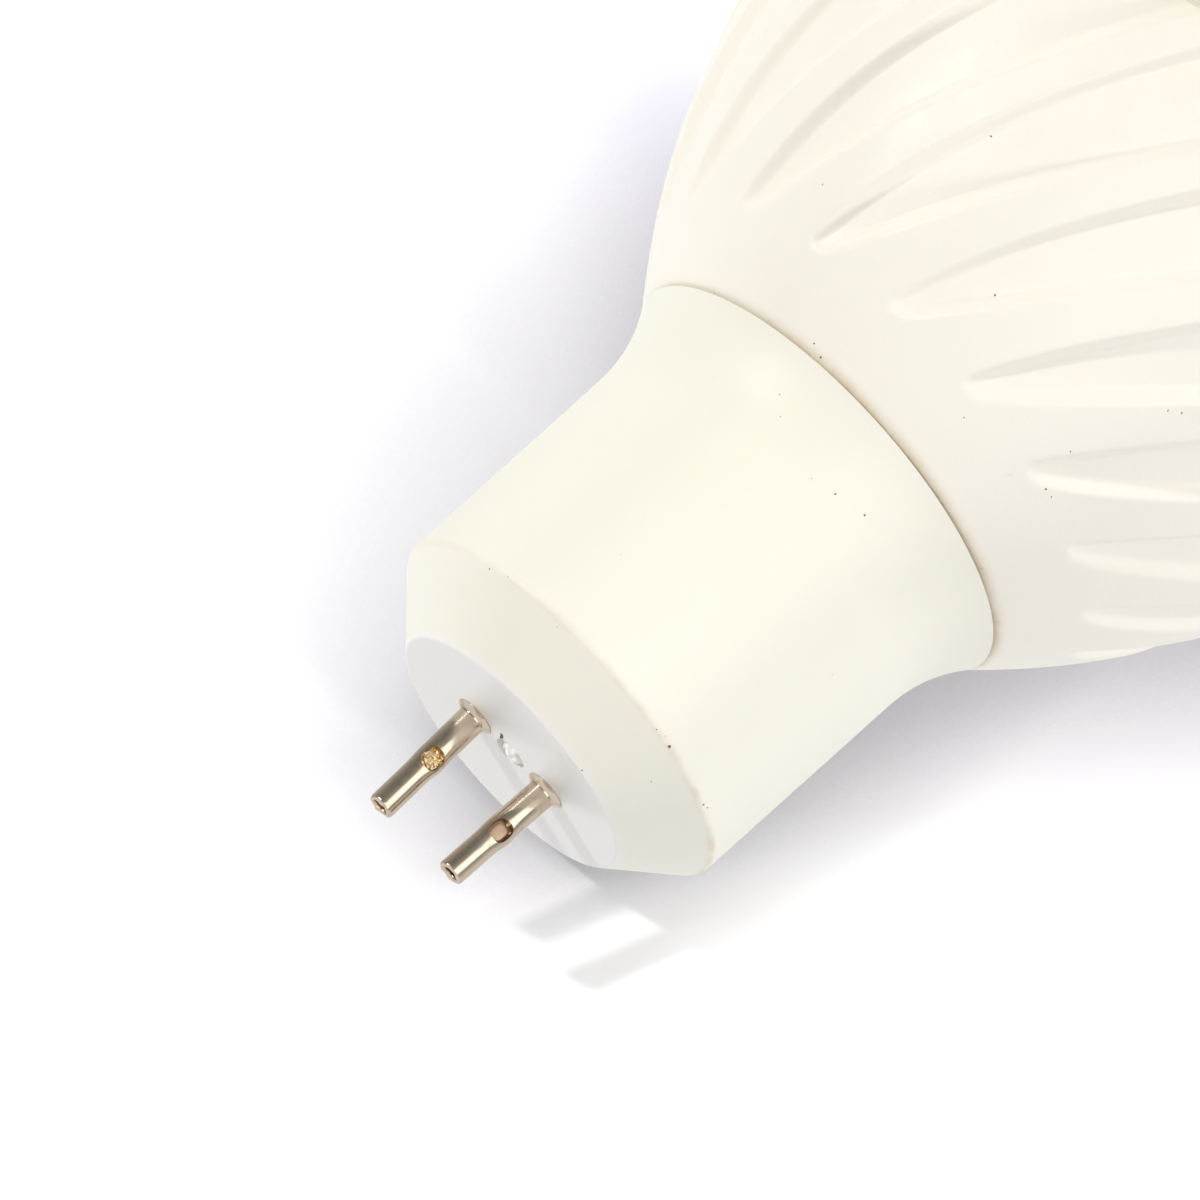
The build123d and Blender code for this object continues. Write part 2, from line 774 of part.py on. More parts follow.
with BuildPart() as front_ring:
    with BuildSketch(radial_plane()) as ring_profile:
        with BuildLine():
            Polyline(
                (ring_inner_radius, 0),
                (front_radius, 0),
                (front_radius, ring_thickness),
                (ring_spigot_radius, ring_thickness),
                (ring_spigot_radius, ring_thickness + ring_spigot_length),
                (ring_spigot_radius - ring_spigot_wall, ring_thickness + ring_spigot_length),
                (ring_spigot_radius - ring_spigot_wall, ring_thickness),
                (ring_inner_radius, ring_thickness),
                close=True,
            )
        make_face()
        fillet(ring_profile.vertices().group_by(Axis.Y)[0], ring_rounding)
    revolve(axis=Axis.Z)

with BuildPart() as front_lens:
    with BuildSketch(Plane.XY.offset(ring_thickness)):
        Circle(lens_radius)
    extrude(amount=lens_thickness)


pieces = {
    "base_collar": base_collar.part,
    "heat_sink": heat_sink.part,
    "contact_pin_left": make_pin(-pin_pitch / 2),
    "contact_pin_right": make_pin(pin_pitch / 2),
    "input_lead_left": make_input_lead(-pin_pitch / 2),
    "input_lead_right": make_input_lead(pin_pitch / 2),
    "driver_board": driver_board.part,
    "filter_capacitor": filter_capacitor.part,
    "film_capacitor": film_capacitor.part,
    "fuse_resistor": fuse_resistor.part,
    "damping_choke": damping_choke.part,
    "bridge_rectifier": make_package(bridge_size, bridge_x, bridge_z, bridge_feet, bridge_pitch),
    "driver_chip": make_package(chip_size, chip_x, chip_z, chip_feet, chip_pitch),
    "output_diode": make_package(diode_size, diode_x, diode_z, diode_feet),
    "sense_resistors": sense_resistors.part,
    "transformer_core": transformer_core.part,
    "transformer_bobbin": transformer_bobbin.part,
    "transformer_winding": transformer_winding.part,
    "output_lead_positive": make_output_lead(1),
    "output_lead_negative": make_output_lead(-1),
    "collar_screws": collar_screws.part,
    "thermal_pad": make_disc(pad_front_z, led_board_radius, pad_thickness, led_hole_radius),
    "led_board": make_disc(led_front_z, led_board_radius, led_board_thickness, led_hole_radius),
    "led_emitter": led_emitter.part,
    "board_screws": board_screws.part,
    "reflector": reflector.part,
    "front_lens": front_lens.part,
    "front_ring": front_ring.part,
}

os.makedirs("parts", exist_ok=True)
for node, solid in pieces.items():
    solid.label = node
    export_step(solid, f"parts/{node}.step")
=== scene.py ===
"""A white LED spot lamp with a two-pin base: its finishes, its pieces and a plain studio around it.

The lamp stands on its front ring. Z is its axis, with the pins at the top, and X runs through both pins.
Lengths are in metres.
"""

import logging
import math
from dataclasses import dataclass
from enum import Enum

import bmesh
import bpy
import numpy as np
from mathutils import Matrix, Vector, noise
from mathutils.bvhtree import BVHTree


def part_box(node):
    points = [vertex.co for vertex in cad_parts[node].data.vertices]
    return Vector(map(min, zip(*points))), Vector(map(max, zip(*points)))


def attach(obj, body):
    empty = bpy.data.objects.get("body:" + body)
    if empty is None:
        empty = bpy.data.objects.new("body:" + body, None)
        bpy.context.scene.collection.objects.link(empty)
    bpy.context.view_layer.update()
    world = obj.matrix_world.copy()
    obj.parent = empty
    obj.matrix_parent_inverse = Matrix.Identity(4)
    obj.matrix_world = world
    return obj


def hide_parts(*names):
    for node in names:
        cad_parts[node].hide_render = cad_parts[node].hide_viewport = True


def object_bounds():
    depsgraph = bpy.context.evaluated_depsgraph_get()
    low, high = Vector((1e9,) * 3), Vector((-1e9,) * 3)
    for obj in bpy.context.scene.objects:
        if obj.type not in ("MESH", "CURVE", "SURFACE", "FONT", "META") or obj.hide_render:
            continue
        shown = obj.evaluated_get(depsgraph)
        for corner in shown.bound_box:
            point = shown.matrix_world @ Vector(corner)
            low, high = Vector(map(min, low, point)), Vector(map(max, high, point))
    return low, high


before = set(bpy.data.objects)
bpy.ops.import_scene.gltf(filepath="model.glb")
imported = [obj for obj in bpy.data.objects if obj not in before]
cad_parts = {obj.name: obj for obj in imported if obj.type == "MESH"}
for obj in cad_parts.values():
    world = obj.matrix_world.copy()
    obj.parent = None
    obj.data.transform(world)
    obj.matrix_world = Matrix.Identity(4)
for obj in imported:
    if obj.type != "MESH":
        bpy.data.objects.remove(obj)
cad_low, cad_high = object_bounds()

MM = 0.001
BODY = "root"
SMOOTH_LIMIT = math.radians(38.0)
NOISE_CORE = (0.3, 0.7)  # range that most of a noise pattern lies in
SPECK_CORE = 0.55  # share of a speck's radius that is fully dark
GLOSS_FINENESS = 3  # patches of gloss along one patch of colour
UP = Vector((0.0, 0.0, 1.0))

Range = tuple[float, float]
Colour = tuple[float, float, float]
SocketValue = float | Colour | bpy.types.NodeSocket | None

log = logging.getLogger("spot_lamp")


class NodeSheet:
    """A node tree under construction, with short calls for the nodes that its users share."""

    def __init__(self, tree: bpy.types.NodeTree) -> None:
        """Keeps the tree's nodes and links at hand."""
        self.nodes = tree.nodes
        self.links = tree.links

    def add(self, kind: str, sockets: dict[str | int, SocketValue], **settings: object) -> bpy.types.Node:
        """Adds one node, sets its options and feeds its inputs.

        Args:
            kind: Blender's name of the node type.
            sockets: Values or output sockets, by the input's name or index.
            **settings: Attributes of the node itself.

        Returns:
            The new node.
        """
        node = self.nodes.new(kind)
        for name, value in settings.items():
            setattr(node, name, value)
        for key, value in sockets.items():
            if isinstance(value, bpy.types.NodeSocket):
                self.links.new(value, node.inputs[key])
            elif value is not None:
                node.inputs[key].default_value = value
        return node

    def read(self, kind: str, output: str | int = 0) -> bpy.types.NodeSocket:
        """Adds a node without inputs and returns one of its outputs."""
        return self.nodes.new(kind).outputs[output]

    def math(self, operation: str, first: SocketValue, second: SocketValue = None) -> bpy.types.NodeSocket:
        """Adds a math node and returns its result."""
        return self.add("ShaderNodeMath", {0: first, 1: second}, operation=operation).outputs[0]

    def plus(self, first: SocketValue, second: SocketValue) -> bpy.types.NodeSocket:
        """Returns a sum."""
        return self.math("ADD", first, second)

    def minus(self, first: SocketValue, second: SocketValue) -> bpy.types.NodeSocket:
        """Returns a difference."""
        return self.math("SUBTRACT", first, second)

    def times(self, first: SocketValue, second: SocketValue) -> bpy.types.NodeSocket:
        """Returns a product."""
        return self.math("MULTIPLY", first, second)

    def square(self, value: SocketValue) -> bpy.types.NodeSocket:
        """Returns a value times itself."""
        return self.times(value, value)

    def remap(
        self,
        value: SocketValue,
        source: tuple[SocketValue, SocketValue],
        target: tuple[SocketValue, SocketValue],
        curve: str = "LINEAR",
    ) -> bpy.types.NodeSocket:
        """Maps a value from one range to another and clamps it there.

        Args:
            value: What is mapped.
            source: The range that it comes from.
            target: The range that it goes to.
            curve: LINEAR or SMOOTHSTEP.

        Returns:
            The mapped value.
        """
        sockets = {
            "Value": value,
            "From Min": source[0],
            "From Max": source[1],
            "To Min": target[0],
            "To Max": target[1],
        }
        return self.add("ShaderNodeMapRange", sockets, interpolation_type=curve).outputs["Result"]

    def split(self, vector: SocketValue) -> bpy.types.bpy_prop_collection:
        """Returns the three parts of a vector."""
        return self.add("ShaderNodeSeparateXYZ", {0: vector}).outputs

    def join(self, *parts: SocketValue) -> bpy.types.NodeSocket:
        """Returns the vector that has the given parts."""
        return self.add("ShaderNodeCombineXYZ", dict(enumerate(parts))).outputs[0]

    def scaled(self, vector: SocketValue, factor: SocketValue) -> bpy.types.NodeSocket:
        """Returns a vector or a colour times a factor."""
        sockets = {0: vector, "Scale": factor}
        return self.add("ShaderNodeVectorMath", sockets, operation="SCALE").outputs["Vector"]

    def ramp(self, value: SocketValue, stops: tuple[tuple[float, Colour], ...]) -> bpy.types.NodeSocket:
        """Adds a colour ramp.

        Args:
            value: What the ramp reads, from 0 to 1.
            stops: Place and colour of each stop, in order.

        Returns:
            The colour.
        """
        node = self.add("ShaderNodeValToRGB", {0: value})
        marks = node.color_ramp.elements
        for number, (place, colour) in enumerate(stops):
            mark = marks[number] if number < len(marks) else marks.new(place)
            mark.position = place
            mark.color = (*colour, 1.0)
        return node.outputs["Color"]


class MaterialSheet(NodeSheet):
    """A material's node tree, with the patterns that the finishes share."""

    def __init__(self, name: str) -> None:
        """Starts a material that has a principled shader and reads Object coordinates.

        Args:
            name: Name of the material.
        """
        self.material = bpy.data.materials.new(name)
        self.material.use_nodes = True
        super().__init__(self.material.node_tree)
        self.shader = self.nodes["Principled BSDF"]
        self.place = self.read("ShaderNodeTexCoord", "Object")

    def feed(self, **values: SocketValue) -> None:
        """Sets or links inputs of the principled shader, with _ for each space in an input's name.

        Args:
            **values: Values or output sockets, by the input's name.
        """
        for name, value in values.items():
            socket = self.shader.inputs[name.replace("_", " ")]
            if isinstance(value, bpy.types.NodeSocket):
                self.links.new(value, socket)
            elif socket.type == "RGBA":
                socket.default_value = (*value, 1.0)
            else:
                socket.default_value = value

    def noise(self, feature: float, detail: float = 2.0, vector: SocketValue = None) -> bpy.types.NodeSocket:
        """Returns a noise value whose features have about the given size.

        Args:
            feature: Size of a feature.
            detail: Number of finer layers.
            vector: Where the pattern is read, if not at the plain coordinates.

        Returns:
            A value from 0 to 1.
        """
        where = self.place if vector is None else vector
        sockets = {"Vector": where, "Scale": 1.0 / feature, "Detail": detail}
        return self.add("ShaderNodeTexNoise", sockets).outputs[0]

    def tint(self, factor: SocketValue, first: SocketValue, second: SocketValue) -> bpy.types.NodeSocket:
        """Mixes two colours by a factor.

        Args:
            factor: Share of the second colour.
            first: One colour.
            second: The other colour.

        Returns:
            The mixed colour.
        """
        colours = [(*c, 1.0) if isinstance(c, tuple) else c for c in (first, second)]
        mix = self.add("ShaderNodeMix", {0: factor, 6: colours[0], 7: colours[1]}, data_type="RGBA")
        return mix.outputs[2]

    def specks(self, spacing: float, radius: float) -> bpy.types.NodeSocket:
        """Strews small round specks.

        Args:
            spacing: About how far the specks lie apart.
            radius: Radius of the largest ones.

        Returns:
            1 in the specks and 0 between them.
        """
        cells = self.add("ShaderNodeTexVoronoi", {"Vector": self.place, "Scale": 1.0 / spacing})
        share = self.add("ShaderNodeSeparateColor", {0: cells.outputs["Color"]}).outputs[0]
        reach = self.times(share, radius / spacing)
        inner = self.times(reach, SPECK_CORE)
        return self.remap(cells.outputs["Distance"], (inner, reach), (1.0, 0.0))

    def bump(self, height: SocketValue, depth: float, normal: SocketValue = None) -> bpy.types.NodeSocket:
        """Returns a normal that is bent by a height pattern of the given depth."""
        sockets = {"Height": height, "Strength": 1.0, "Distance": depth, "Normal": normal}
        return self.add("ShaderNodeBump", sockets).outputs["Normal"]


class GeometrySheet(NodeSheet):
    """A geometry node tree with named inputs, which ends in one dressed mesh."""

    def __init__(self, name: str, settings: dict[str, float | int]) -> None:
        """Starts a tree with a Geometry input and output, its settings and a Material input.

        Args:
            name: Name of the tree.
            settings: Value of each further input, by its name.
        """
        self.tree = bpy.data.node_groups.new(name, "GeometryNodeTree")
        sockets = self.tree.interface
        for side in ("INPUT", "OUTPUT"):
            sockets.new_socket(name="Geometry", in_out=side, socket_type="NodeSocketGeometry")
        for label, value in settings.items():
            kind = "NodeSocketInt" if isinstance(value, int) else "NodeSocketFloat"
            sockets.new_socket(name=label, in_out="INPUT", socket_type=kind).default_value = value
        sockets.new_socket(name="Material", in_out="INPUT", socket_type="NodeSocketMaterial")
        super().__init__(self.tree)
        self.given = self.nodes.new("NodeGroupInput").outputs

    def point_value(self, name: str, kind: str = "FLOAT") -> bpy.types.NodeSocket:
        """Returns a named value of each point."""
        node = self.add("GeometryNodeInputNamedAttribute", {"Name": name}, data_type=kind)
        return node.outputs["Attribute"]

    def chance(self, seed: SocketValue, low: SocketValue, high: SocketValue) -> bpy.types.NodeSocket:
        """Returns a random value of each point in a range."""
        sockets = {"Seed": seed, 2: low, 3: high}
        return self.add("FunctionNodeRandomValue", sockets, data_type="FLOAT").outputs[1]

    def whole(self, geometry: bpy.types.NodeSocket) -> bpy.types.NodeSocket:
        """Returns a geometry with its instances made real."""
        return self.add("GeometryNodeRealizeInstances", {"Geometry": geometry}).outputs[0]

    def moved(self, geometry: bpy.types.NodeSocket, **motion: SocketValue) -> bpy.types.NodeSocket:
        """Returns a geometry whose points have a new Position, or an Offset."""
        return self.add("GeometryNodeSetPosition", {"Geometry": geometry, **motion}).outputs[0]

    def hand_out(self, geometry: bpy.types.NodeSocket) -> bpy.types.NodeTree:
        """Dresses a geometry with the Material input and makes it the tree's output.

        Args:
            geometry: The geometry.

        Returns:
            The tree, which is complete.
        """
        sockets = {"Geometry": geometry, "Material": self.given["Material"]}
        dressed = self.add("GeometryNodeSetMaterial", sockets)
        self.add("NodeGroupOutput", {0: dressed.outputs[0]})
        return self.tree


class StageSheet(NodeSheet):
    """The node tree of a surface of the stage."""

    def __init__(self, name: str) -> None:
        """Starts a material that has no nodes.

        Args:
            name: Name of the material.
        """
        self.material = bpy.data.materials.new(name)
        self.material.use_nodes = True
        super().__init__(self.material.node_tree)
        self.nodes.clear()

    def surface(self, shader: bpy.types.Node) -> bpy.types.Material:
        """Makes a shader the material's surface and returns the material."""
        self.add("ShaderNodeOutputMaterial", {"Surface": shader.outputs[0]})
        return self.material


@dataclass(frozen=True)
class Finish:
    """A moulded or coated surface: mottled colour, uneven gloss and a fine grain."""

    name: str
    colour: Colour
    shade: Colour
    roughness: float = 0.4
    roughness_spread: float = 0.1
    patch: float = 3.0 * MM
    grain: float = 0.15 * MM
    grain_depth: float = 0.004 * MM
    metallic: float = 0.0

    def material(self) -> bpy.types.Material:
        """Builds the finish.

        Returns:
            The new material.
        """
        sheet = MaterialSheet(self.name)
        base = sheet.tint(sheet.noise(self.patch, detail=4.0), self.colour, self.shade)
        gloss = sheet.noise(self.patch / GLOSS_FINENESS, detail=3.0)
        spread = (self.roughness - self.roughness_spread, self.roughness + self.roughness_spread)
        sheet.feed(
            Base_Color=base,
            Metallic=self.metallic,
            Roughness=sheet.remap(gloss, NOISE_CORE, spread),
            Normal=sheet.bump(sheet.noise(self.grain), self.grain_depth),
        )
        self.detail(sheet, base)
        return sheet.material

    def detail(self, sheet: MaterialSheet, base: bpy.types.NodeSocket) -> None:
        """Adds what only one kind of surface has."""


@dataclass(frozen=True)
class IvoryMoulding(Finish):
    """Smooth ivory plastic with a soft gloss, specks, grime along one edge and a painted cool shade tint on
    the end face.
    """

    speck_colour: Colour = (0.09, 0.065, 0.045)
    speck_spacing: float = 4.2 * MM
    speck_radius: float = 0.10 * MM
    grime_colour: Colour = (0.60, 0.45, 0.28)
    grime_level: float = 47.45 * MM
    grime_reach: float = 0.34 * MM
    grime_patch: float = 1.6 * MM
    grime_noise: Range = (0.34, 0.70)
    grime_strength: Range = (0.04, 0.42)
    grime_side: Range = (6.0 * MM, -8.0 * MM)  # along X, from the cleaner side to the dirtier one
    grime_least: float = 0.35  # share of the grime on the cleaner side
    # painted shade: the end face gets a cooler, less yellow colour for the bluish shade it stands in
    face_shade_tint: Colour = (0.905, 0.884, 0.825)
    face_level: float = 50.95 * MM
    face_blend: float = 0.35 * MM
    wave: float = 5.0 * MM
    wave_depth: float = 0.02 * MM
    glow: float = 0.12
    glow_reach: Colour = (1.0, 0.85, 0.6)
    glow_depth: float = 0.8 * MM

    def detail(self, sheet: MaterialSheet, base: bpy.types.NodeSocket) -> None:
        """Adds a slow waviness, the end face's painted cool shade tint, specks and a brown line of dirt along
        an edge.

        Args:
            sheet: The finish under construction.
            base: Its colour so far.
        """
        across, _, level = sheet.split(sheet.place)
        away = sheet.math("ABSOLUTE", sheet.minus(level, self.grime_level))
        line = sheet.remap(away, (0.0, self.grime_reach), (1.0, 0.0), "SMOOTHSTEP")
        uneven = sheet.remap(sheet.noise(self.grime_patch, detail=4.0), self.grime_noise, self.grime_strength)
        toward = sheet.remap(across, self.grime_side, (self.grime_least, 1.0))
        # painted shade: the end face is tinted cooler than the side, as if it stood in bluish shade
        on_face = sheet.remap(level, (self.face_level - self.face_blend, self.face_level), (0.0, 1.0))
        clean = sheet.tint(on_face, base, self.face_shade_tint)
        grimy = sheet.tint(sheet.times(line, sheet.times(uneven, toward)), clean, self.grime_colour)
        specks = sheet.specks(self.speck_spacing, self.speck_radius)
        wave = sheet.bump(sheet.noise(self.wave, detail=1.0), self.wave_depth)
        sheet.feed(
            Base_Color=sheet.tint(specks, grimy, self.speck_colour),
            Normal=sheet.bump(sheet.noise(self.grain), self.grain_depth, wave),
            Subsurface_Weight=self.glow,
            Subsurface_Radius=self.glow_reach,
            Subsurface_Scale=self.glow_depth,
        )


@dataclass(frozen=True)
class CastCoating(Finish):
    """Satin off-white coating on a casting: fine grain, pores, dark specks and painted brown shade in the
    seam.
    """

    speck_colour: Colour = (0.10, 0.07, 0.05)
    speck_spacing: float = 3.6 * MM
    speck_radius: float = 0.09 * MM
    pore: float = 0.32 * MM
    pore_depth: float = 0.010 * MM
    # painted shade: a warm brown band under the seam stands in for the shade in the crease between collar and
    # bell, and fades towards the lit side
    seam_level: float = 28.35 * MM
    seam_reach: float = 0.55 * MM
    seam_shade_colour: Colour = (0.72, 0.54, 0.32)
    seam_patch: float = 1.3 * MM
    seam_strength: Range = (0.2, 0.6)
    seam_side: Range = (9.5 * MM, 2.0 * MM)  # along X, from the side with less painted shade to the side with more
    seam_least: float = 0.15  # share of the painted shade on the lighter side

    def detail(self, sheet: MaterialSheet, base: bpy.types.NodeSocket) -> None:
        """Adds orange-peel pores under the grain, the specks and the painted brown shade in the seam.

        Args:
            sheet: The finish under construction.
            base: Its colour so far.
        """
        across, _, level = sheet.split(sheet.place)
        # painted shade in the seam's crease, weaker towards the lit side
        reach = (self.seam_level - self.seam_reach, self.seam_level)
        seam_shade_mask = sheet.remap(level, reach, (0.0, 1.0), "SMOOTHSTEP")
        uneven = sheet.remap(sheet.noise(self.seam_patch, detail=3.0), NOISE_CORE, self.seam_strength)
        toward = sheet.remap(across, self.seam_side, (self.seam_least, 1.0))
        seam_shaded = sheet.tint(sheet.times(seam_shade_mask, sheet.times(uneven, toward)), base, self.seam_shade_colour)
        specks = sheet.specks(self.speck_spacing, self.speck_radius)
        pores = sheet.bump(sheet.noise(self.pore), self.pore_depth)
        sheet.feed(
            Base_Color=sheet.tint(specks, seam_shaded, self.speck_colour),
            Normal=sheet.bump(sheet.noise(self.grain, detail=1.0), self.grain_depth, pores),
        )


@dataclass(frozen=True)
class WornNickel(Finish):
    """Warm nickel plate with a few scratches. Attributes mark brown hollows and bright wire ends."""

    hollow_colour: Colour = (0.20, 0.085, 0.03)
    hollow_dulling: float = 0.25
    wire_colour: Colour = (0.80, 0.60, 0.34)
    stain_colour: Colour = (0.40, 0.30, 0.19)
    stain: float = 0.45 * MM
    stain_noise: Range = (0.58, 0.8)
    stain_strength: float = 0.5
    scratch: float = 0.16 * MM
    scratch_turn: Colour = (0.5, 0.9, 0.0)
    scratch_stretch: Colour = (1.0, 1.0, 0.08)
    scratch_noise: Range = (0.64, 0.74)
    scratch_depth: float = 0.003 * MM
    scratch_dulling: float = 0.12
    gloss_patch: float = 0.5 * MM
    gloss: Range = (0.12, 0.20)

    def detail(self, sheet: MaterialSheet, base: bpy.types.NodeSocket) -> None:
        """Adds scratches, stains and the colours of the crimp and the bore.

        Args:
            sheet: The finish under construction.
            base: Its colour so far.
        """
        hollow, gold = (
            sheet.add("ShaderNodeAttribute", {}, attribute_name=name).outputs["Fac"]
            for name in ("hollow", "gold")
        )
        stain = sheet.remap(sheet.noise(self.stain, detail=4.0), self.stain_noise, (0.0, self.stain_strength))
        worn = sheet.tint(stain, base, self.stain_colour)
        sockets = {"Vector": sheet.place, "Rotation": self.scratch_turn, "Scale": self.scratch_stretch}
        slanted = sheet.add("ShaderNodeMapping", sockets).outputs["Vector"]
        scratches = sheet.remap(sheet.noise(self.scratch, vector=slanted), self.scratch_noise, (0.0, 1.0))
        streaks = sheet.times(scratches, self.scratch_dulling)
        dulled = sheet.times(hollow, self.hollow_dulling)
        gloss = sheet.remap(sheet.noise(self.gloss_patch), NOISE_CORE, self.gloss)
        sheet.feed(
            Base_Color=sheet.tint(gold, sheet.tint(hollow, worn, self.hollow_colour), self.wire_colour),
            Roughness=sheet.plus(gloss, sheet.plus(streaks, dulled)),
            Normal=sheet.bump(scratches, self.scratch_depth),
        )


@dataclass(frozen=True)
class ClearMoulding(Finish):
    """Clear plastic with a faint haze."""

    index: float = 1.49

    def detail(self, sheet: MaterialSheet, base: bpy.types.NodeSocket) -> None:
        """Lets light through."""
        sheet.feed(Transmission_Weight=1.0, IOR=self.index)


class Part(Enum):
    """Finishes of the lamp's pieces: name, colour, shade, roughness and its spread, size of a patch, grain."""

    COLLAR = IvoryMoulding(
        "ivory_plastic", (0.905, 0.882, 0.758), (0.888, 0.866, 0.746), 0.45, 0.06, 9.0 * MM, 0.12 * MM,
        grain_depth=0.003 * MM,
    )
    DIRT = Finish("dirt", (0.20, 0.15, 0.11), (0.09, 0.068, 0.05), 0.6, 0.15, 0.12 * MM, 0.05 * MM)
    TORN = Finish("torn_plastic", (0.96, 0.96, 0.95), (0.94, 0.94, 0.925), 0.38, 0.12, 0.3 * MM, 0.08 * MM)
    SINK = CastCoating(
        "cast_coating", (0.93, 0.895, 0.79), (0.917, 0.88, 0.772), 0.46, 0.08, 8.0 * MM, 0.12 * MM,
        grain_depth=0.006 * MM,
    )
    PIN = WornNickel(
        "worn_nickel", (0.67, 0.57, 0.445), (0.575, 0.48, 0.365), 0.2, 0.08, 1.2 * MM, metallic=1.0,
    )
    RING = Finish("ring_plastic", (0.90, 0.88, 0.80), (0.88, 0.86, 0.785), 0.42, 0.08, 6.0 * MM, 0.12 * MM)
    LENS = ClearMoulding("clear_lens", (0.97, 0.98, 0.98), (0.95, 0.97, 0.97), 0.06, 0.03)
    REFLECTOR = Finish(
        "bright_cup", (0.90, 0.90, 0.89), (0.86, 0.86, 0.86), 0.10, 0.05, 4.0 * MM, 0.3 * MM, metallic=1.0,
    )
    EMITTER = Finish("phosphor_gel", (0.90, 0.68, 0.12), (0.86, 0.60, 0.09), 0.38, 0.08, 1.5 * MM)
    LED_BOARD = Finish("white_solder_mask", (0.86, 0.86, 0.83), (0.80, 0.80, 0.77), 0.3, 0.08, 2.0 * MM)
    PAD = Finish("thermal_pad", (0.28, 0.30, 0.33), (0.23, 0.25, 0.28), 0.7, 0.1, 1.0 * MM)
    SCREW = Finish(
        "zinc_steel", (0.62, 0.61, 0.58), (0.5, 0.49, 0.46), 0.32, 0.1, 0.8 * MM, metallic=1.0,
    )
    BOARD = Finish("green_laminate", (0.035, 0.17, 0.06), (0.025, 0.12, 0.045), 0.42, 0.1, 0.5 * MM)
    CAN = Finish("can_sleeve", (0.012, 0.016, 0.035), (0.02, 0.024, 0.05), 0.28, 0.08, 1.0 * MM)
    FILM = Finish("film_epoxy", (0.24, 0.03, 0.015), (0.18, 0.02, 0.01), 0.25, 0.08, 0.8 * MM)
    FUSE = Finish("fuse_lacquer", (0.17, 0.34, 0.20), (0.13, 0.28, 0.16), 0.3, 0.08, 0.6 * MM)
    CHOKE = Finish("shrink_sleeve", (0.012, 0.012, 0.013), (0.02, 0.02, 0.02), 0.5, 0.1, 0.7 * MM)
    CHIP = Finish("moulding_compound", (0.014, 0.014, 0.015), (0.022, 0.022, 0.023), 0.55, 0.1, 0.3 * MM)
    RESISTOR = Finish("chip_glaze", (0.01, 0.01, 0.012), (0.02, 0.02, 0.022), 0.25, 0.08, 0.3 * MM)
    CORE = Finish("ferrite", (0.03, 0.03, 0.033), (0.045, 0.045, 0.048), 0.6, 0.12, 0.3 * MM)
    BOBBIN = Finish("black_phenolic", (0.014, 0.014, 0.015), (0.024, 0.024, 0.025), 0.45, 0.1, 0.5 * MM)
    TAPE = Finish("winding_tape", (0.70, 0.43, 0.02), (0.62, 0.36, 0.015), 0.3, 0.08, 0.8 * MM)
    LEAD = Finish(
        "tinned_copper", (0.66, 0.60, 0.50), (0.52, 0.45, 0.36), 0.28, 0.1, 0.4 * MM, metallic=1.0,
    )
    RED_WIRE = Finish("red_insulation", (0.38, 0.012, 0.01), (0.32, 0.01, 0.008), 0.45, 0.1, 0.6 * MM)
    BLACK_WIRE = Finish("black_insulation", (0.012, 0.012, 0.012), (0.02, 0.02, 0.02), 0.45, 0.1, 0.6 * MM)


NODE_PARTS: dict[str, Part] = {
    "base_collar": Part.COLLAR,
    "input_lead_left": Part.LEAD,
    "input_lead_right": Part.LEAD,
    "driver_board": Part.BOARD,
    "filter_capacitor": Part.CAN,
    "film_capacitor": Part.FILM,
    "fuse_resistor": Part.FUSE,
    "damping_choke": Part.CHOKE,
    "bridge_rectifier": Part.CHIP,
    "driver_chip": Part.CHIP,
    "output_diode": Part.CHIP,
    "sense_resistors": Part.RESISTOR,
    "transformer_core": Part.CORE,
    "transformer_bobbin": Part.BOBBIN,
    "transformer_winding": Part.TAPE,
    "output_lead_positive": Part.RED_WIRE,
    "output_lead_negative": Part.BLACK_WIRE,
    "collar_screws": Part.SCREW,
    "thermal_pad": Part.PAD,
    "led_board": Part.LED_BOARD,
    "led_emitter": Part.EMITTER,
    "board_screws": Part.SCREW,
    "reflector": Part.REFLECTOR,
    "front_lens": Part.LENS,
    "front_ring": Part.RING,
}


class Cabinet:
    """Makes each finish once and hands out its material."""

    def __init__(self) -> None:
        """Starts empty."""
        self.made: dict[str, bpy.types.Material] = {}

    def take(self, part: Part) -> bpy.types.Material:
        """Returns a finish's material, and builds it on first use.

        Args:
            part: The finish.

        Returns:
            Its material.
        """
        if part.name not in self.made:
            self.made[part.name] = part.value.material()
        return self.made[part.name]

    def dress(self, obj: bpy.types.Object, part: Part) -> None:
        """Gives an object one finish all over."""
        obj.data.materials.clear()
        obj.data.materials.append(self.take(part))


def place_mesh(name: str, mesh: bpy.types.Mesh) -> bpy.types.Object:
    """Puts a mesh into the scene at the origin.

    Args:
        name: Name of the new piece.
        mesh: Its mesh, in the row frame.

    Returns:
        The new object.
    """
    obj = bpy.data.objects.new(name, mesh)
    bpy.context.scene.collection.objects.link(obj)
    return obj


def smooth(mesh: bpy.types.Mesh) -> None:
    """Shades a mesh smooth, apart from its sharp edges."""
    mesh.polygons.foreach_set("use_smooth", [True] * len(mesh.polygons))
    mesh.set_sharp_from_angle(angle=SMOOTH_LIMIT)


